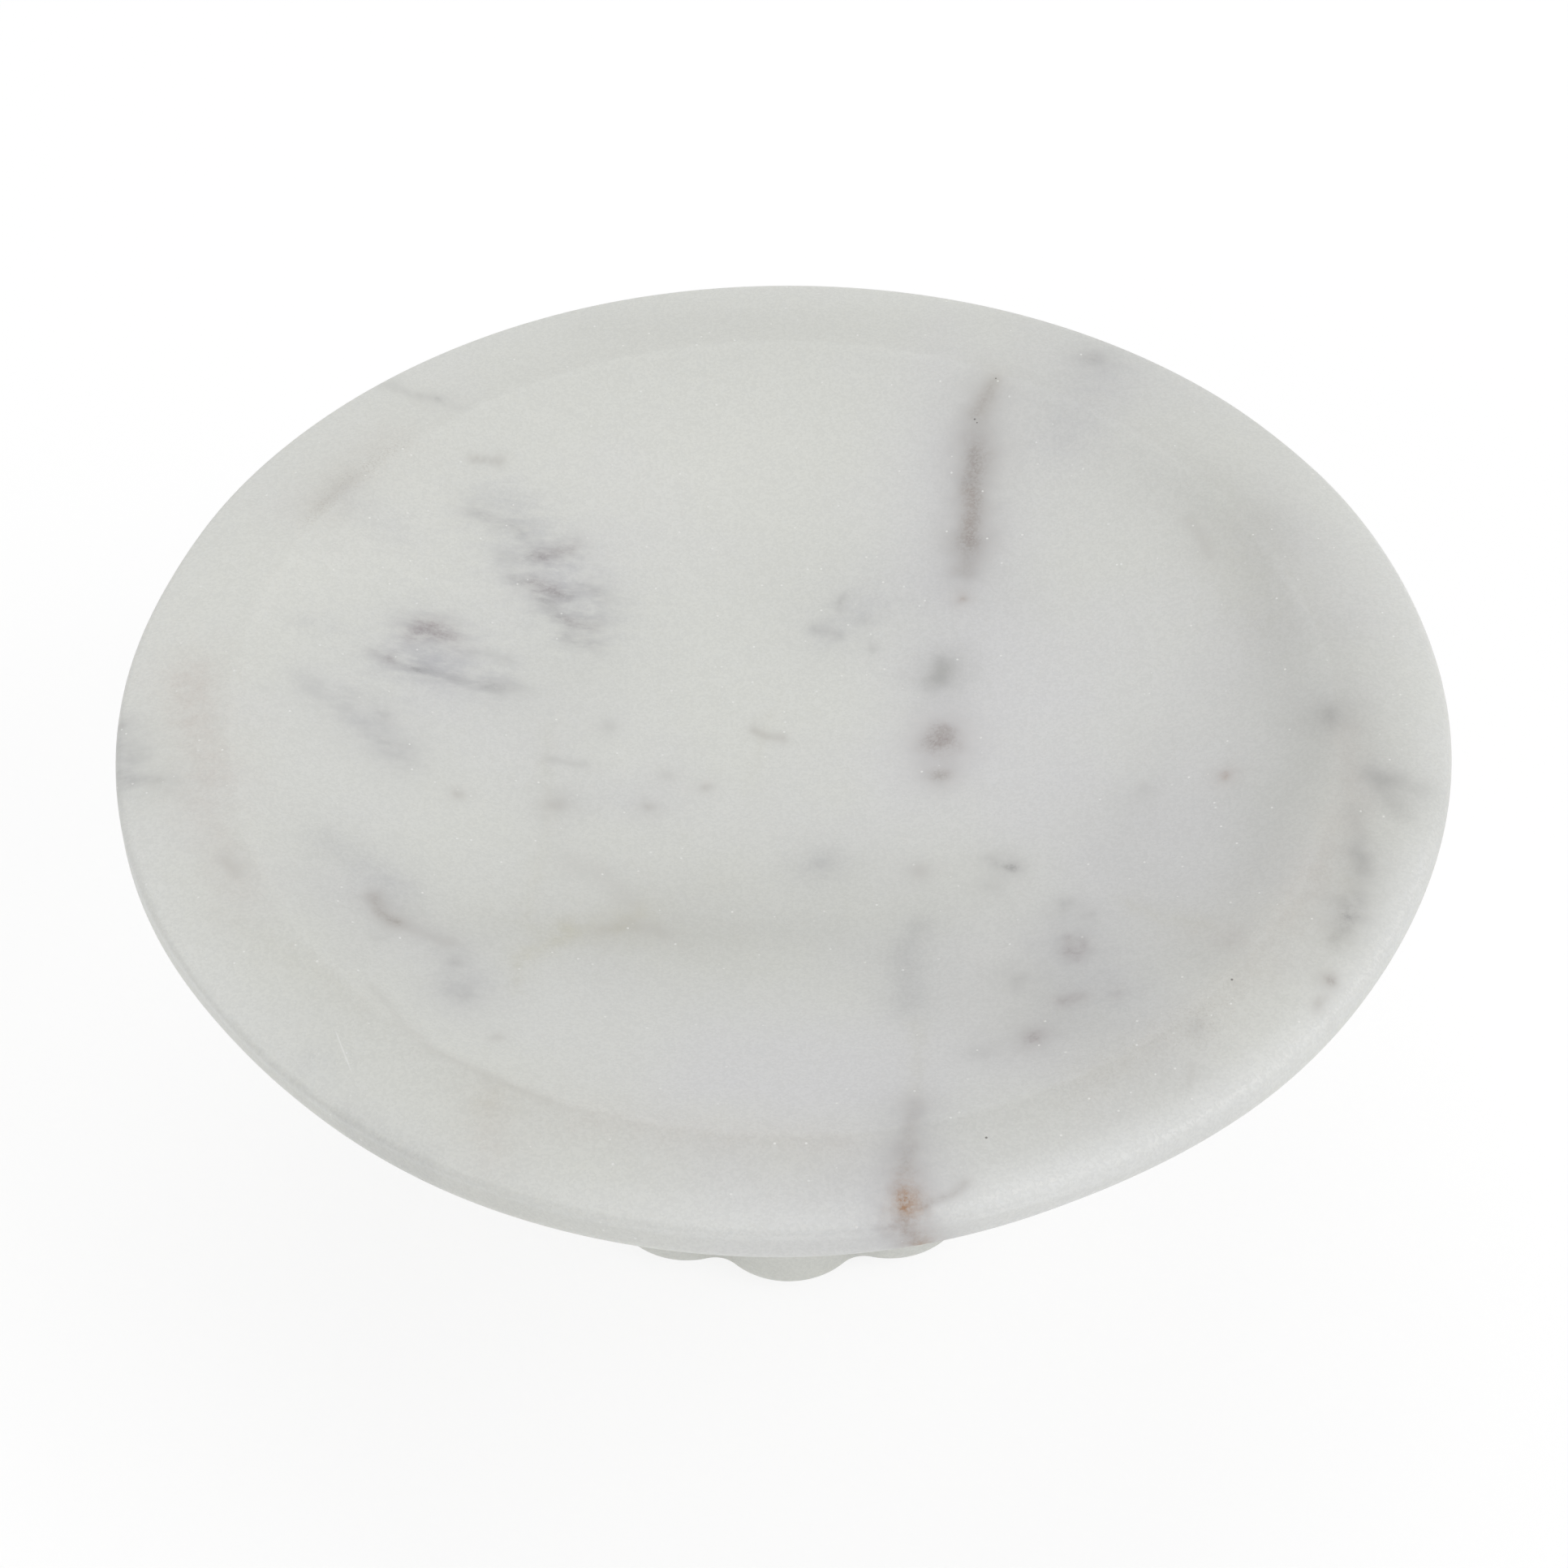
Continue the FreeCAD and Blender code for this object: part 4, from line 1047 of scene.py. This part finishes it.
def make_dot(name, middle, radius, height):
    angles = np.linspace(0, 2 * math.pi, DOT_SIDES, endpoint=False)
    section = [(share * radius, height) for share in DOT_TOP_RINGS]
    section += [(radius, level) for level in np.linspace(height, DOT_EDGE_ROUND, DOT_SIDE_RINGS + 1)[1:]]
    for turn in np.linspace(0, math.pi / 2, DOT_EDGE_RINGS + 1)[1:]:
        inset = DOT_EDGE_ROUND * (1 - math.cos(turn))
        section.append((radius - inset, DOT_EDGE_ROUND * (1 - math.sin(turn))))
    section += [(share * (radius - DOT_EDGE_ROUND), 0.0) for share in DOT_BOTTOM_RINGS]
    rings = []
    for reach, level in section:
        frayed = reach - DOT_FUZZ * felt_draws.random(DOT_SIDES) * (reach > FRAY_STARTS * radius)
        sunk = level + (DOT_FUZZ * felt_draws.random(DOT_SIDES) if level < height / 2 else 0.0)
        rings.append(np.column_stack([middle.x + frayed * np.cos(angles), middle.y + frayed * np.sin(angles),
                                      np.broadcast_to(sunk, angles.shape)]))
    poles = [(middle.x, middle.y, height), (middle.x, middle.y, DOT_FUZZ / 2)]
    return skin(name, rings, poles)


felt = pressed_felt()
for number in range(1, 5):
    node_name = f"felt_dot_{number}"
    dot_low, dot_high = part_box(node_name)
    dot_radius = (dot_high.x - dot_low.x) / 2
    dot = make_dot(f"felt_pad_{number}", (dot_low + dot_high) / 2, dot_radius, dot_high.z)
    dot.data.materials.append(felt)
    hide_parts(node_name)
    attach(dot, "root")


# Table and light
# A plain white table, which the camera sees washed out almost to the white of the background.
# Three broad soft lights stand on the right, in front on the left and overhead at the back,
# and the pale room fills the rest.

WHITE = (1.0, 1.0, 1.0, 1.0)
TABLE_SIZE = 6.0
TABLE_TINT = (0.86, 0.86, 0.86, 1.0)
# The table also glows a little for every ray: painted light that brightens the stone's wall, foot and
# underside from below.
PAINTED_TABLE_GLOW = 0.25
TABLE_WASH = 0.75

bpy.ops.mesh.primitive_plane_add(size=TABLE_SIZE)
table = bpy.context.object
table.name = "table"
paint, paint_tree, plain_shader = new_material("white_table")
paint_tree.nodes.remove(plain_shader)
matt_paint = node(paint_tree, "BsdfDiffuse", {"Color": TABLE_TINT})
painted_table_glow = node(paint_tree, "Emission", {"Color": WHITE, "Strength": PAINTED_TABLE_GLOW})
lit = node(paint_tree, "AddShader", {0: matt_paint.outputs[0], 1: painted_table_glow.outputs[0]})
bright = node(paint_tree, "Emission", {"Color": WHITE, "Strength": 1.0})
seen = node(paint_tree, "LightPath", {}).outputs["Is Camera Ray"]
washed = maths(paint_tree, "MULTIPLY", seen, TABLE_WASH)
both = node(paint_tree, "MixShader", {0: washed, 1: lit.outputs[0], 2: bright.outputs[0]})
paint_tree.links.new(both.outputs[0], paint_tree.nodes["Material Output"].inputs["Surface"])
table.data.materials.append(paint)

# Each light is (where it stands, how wide it is, its power), in metres and watts.
LIGHTS = {
    "right_light": ((0.80, -0.30, 0.78), 0.7, 3.5),
    "front_light": ((-0.75, -0.95, 0.55), 0.9, 2.6),
    "overhead_light": ((0.0, 0.70, 1.10), 1.0, 5.0),
}
for light_name, (stand, width, power) in LIGHTS.items():
    lamp = bpy.data.lights.new(light_name, "AREA")
    lamp.shape = "SQUARE"
    lamp.size = width
    lamp.energy = power
    light = bpy.data.objects.new(light_name, lamp)
    light.location = stand
    light.rotation_euler = (Vector((0, 0, CREST_LEVEL)) - Vector(stand)).to_track_quat("-Z", "Y").to_euler()
    bpy.context.scene.collection.objects.link(light)

# The room is white where it is seen or mirrored, and lights the stone less than that.
ROOM_LIGHT = 0.47
room = bpy.data.worlds.new("pale_room")
room.use_nodes = True
room_tree = room.node_tree
ray = node(room_tree, "LightPath", {})
shown = maths(room_tree, "MAXIMUM", ray.outputs["Is Camera Ray"], ray.outputs["Is Transmission Ray"])
shown = maths(room_tree, "MAXIMUM", shown, ray.outputs["Is Glossy Ray"])
room_level = node(room_tree, "MapRange", {0: shown, 3: ROOM_LIGHT, 4: 1.0}).outputs[0]
room_tree.links.new(room_level, room_tree.nodes["Background"].inputs["Strength"])
room_tree.nodes["Background"].inputs["Color"].default_value = WHITE
bpy.context.scene.world = room
bpy.context.scene.view_settings.view_transform = "Standard"


# Camera
# Above the front of the dish, looking down at a little under forty-five degrees.
# The picture's width, the focal length and the place of the rim's middle in it are in pixels.

PICTURE = 1932
FOCAL_PIXELS = 4906
RIM_MIDDLE_AT = (966.8, 867.3)
DISTANCE = 341.2 * MM
ELEVATION = math.radians(44.80)
ROLL = math.radians(0.55)
SENSOR_WIDTH = 36.0
NEAR_LIMIT = 0.01

camera_data = bpy.data.cameras.new("camera")
camera_data.sensor_width = SENSOR_WIDTH
camera_data.lens = FOCAL_PIXELS / PICTURE * SENSOR_WIDTH
camera_data.clip_start = NEAR_LIMIT
camera = bpy.data.objects.new("camera", camera_data)
rim_middle = Vector((0, 0, CREST_LEVEL - RIM_FALL - ROLL_DROP))
camera.location = rim_middle + DISTANCE * Vector((0, -math.cos(ELEVATION), math.sin(ELEVATION)))
aim_down = math.atan2(PICTURE / 2 - RIM_MIDDLE_AT[1], FOCAL_PIXELS)
aim_left = math.atan2(RIM_MIDDLE_AT[0] - PICTURE / 2, FOCAL_PIXELS)
level_view = Euler((math.pi / 2 - ELEVATION, 0, 0)).to_matrix()
turned_view = level_view @ Euler((-aim_down, aim_left, 0)).to_matrix() @ Euler((0, 0, -ROLL)).to_matrix()
camera.rotation_euler = turned_view.to_euler()
bpy.context.scene.collection.objects.link(camera)
bpy.context.scene.camera = camera
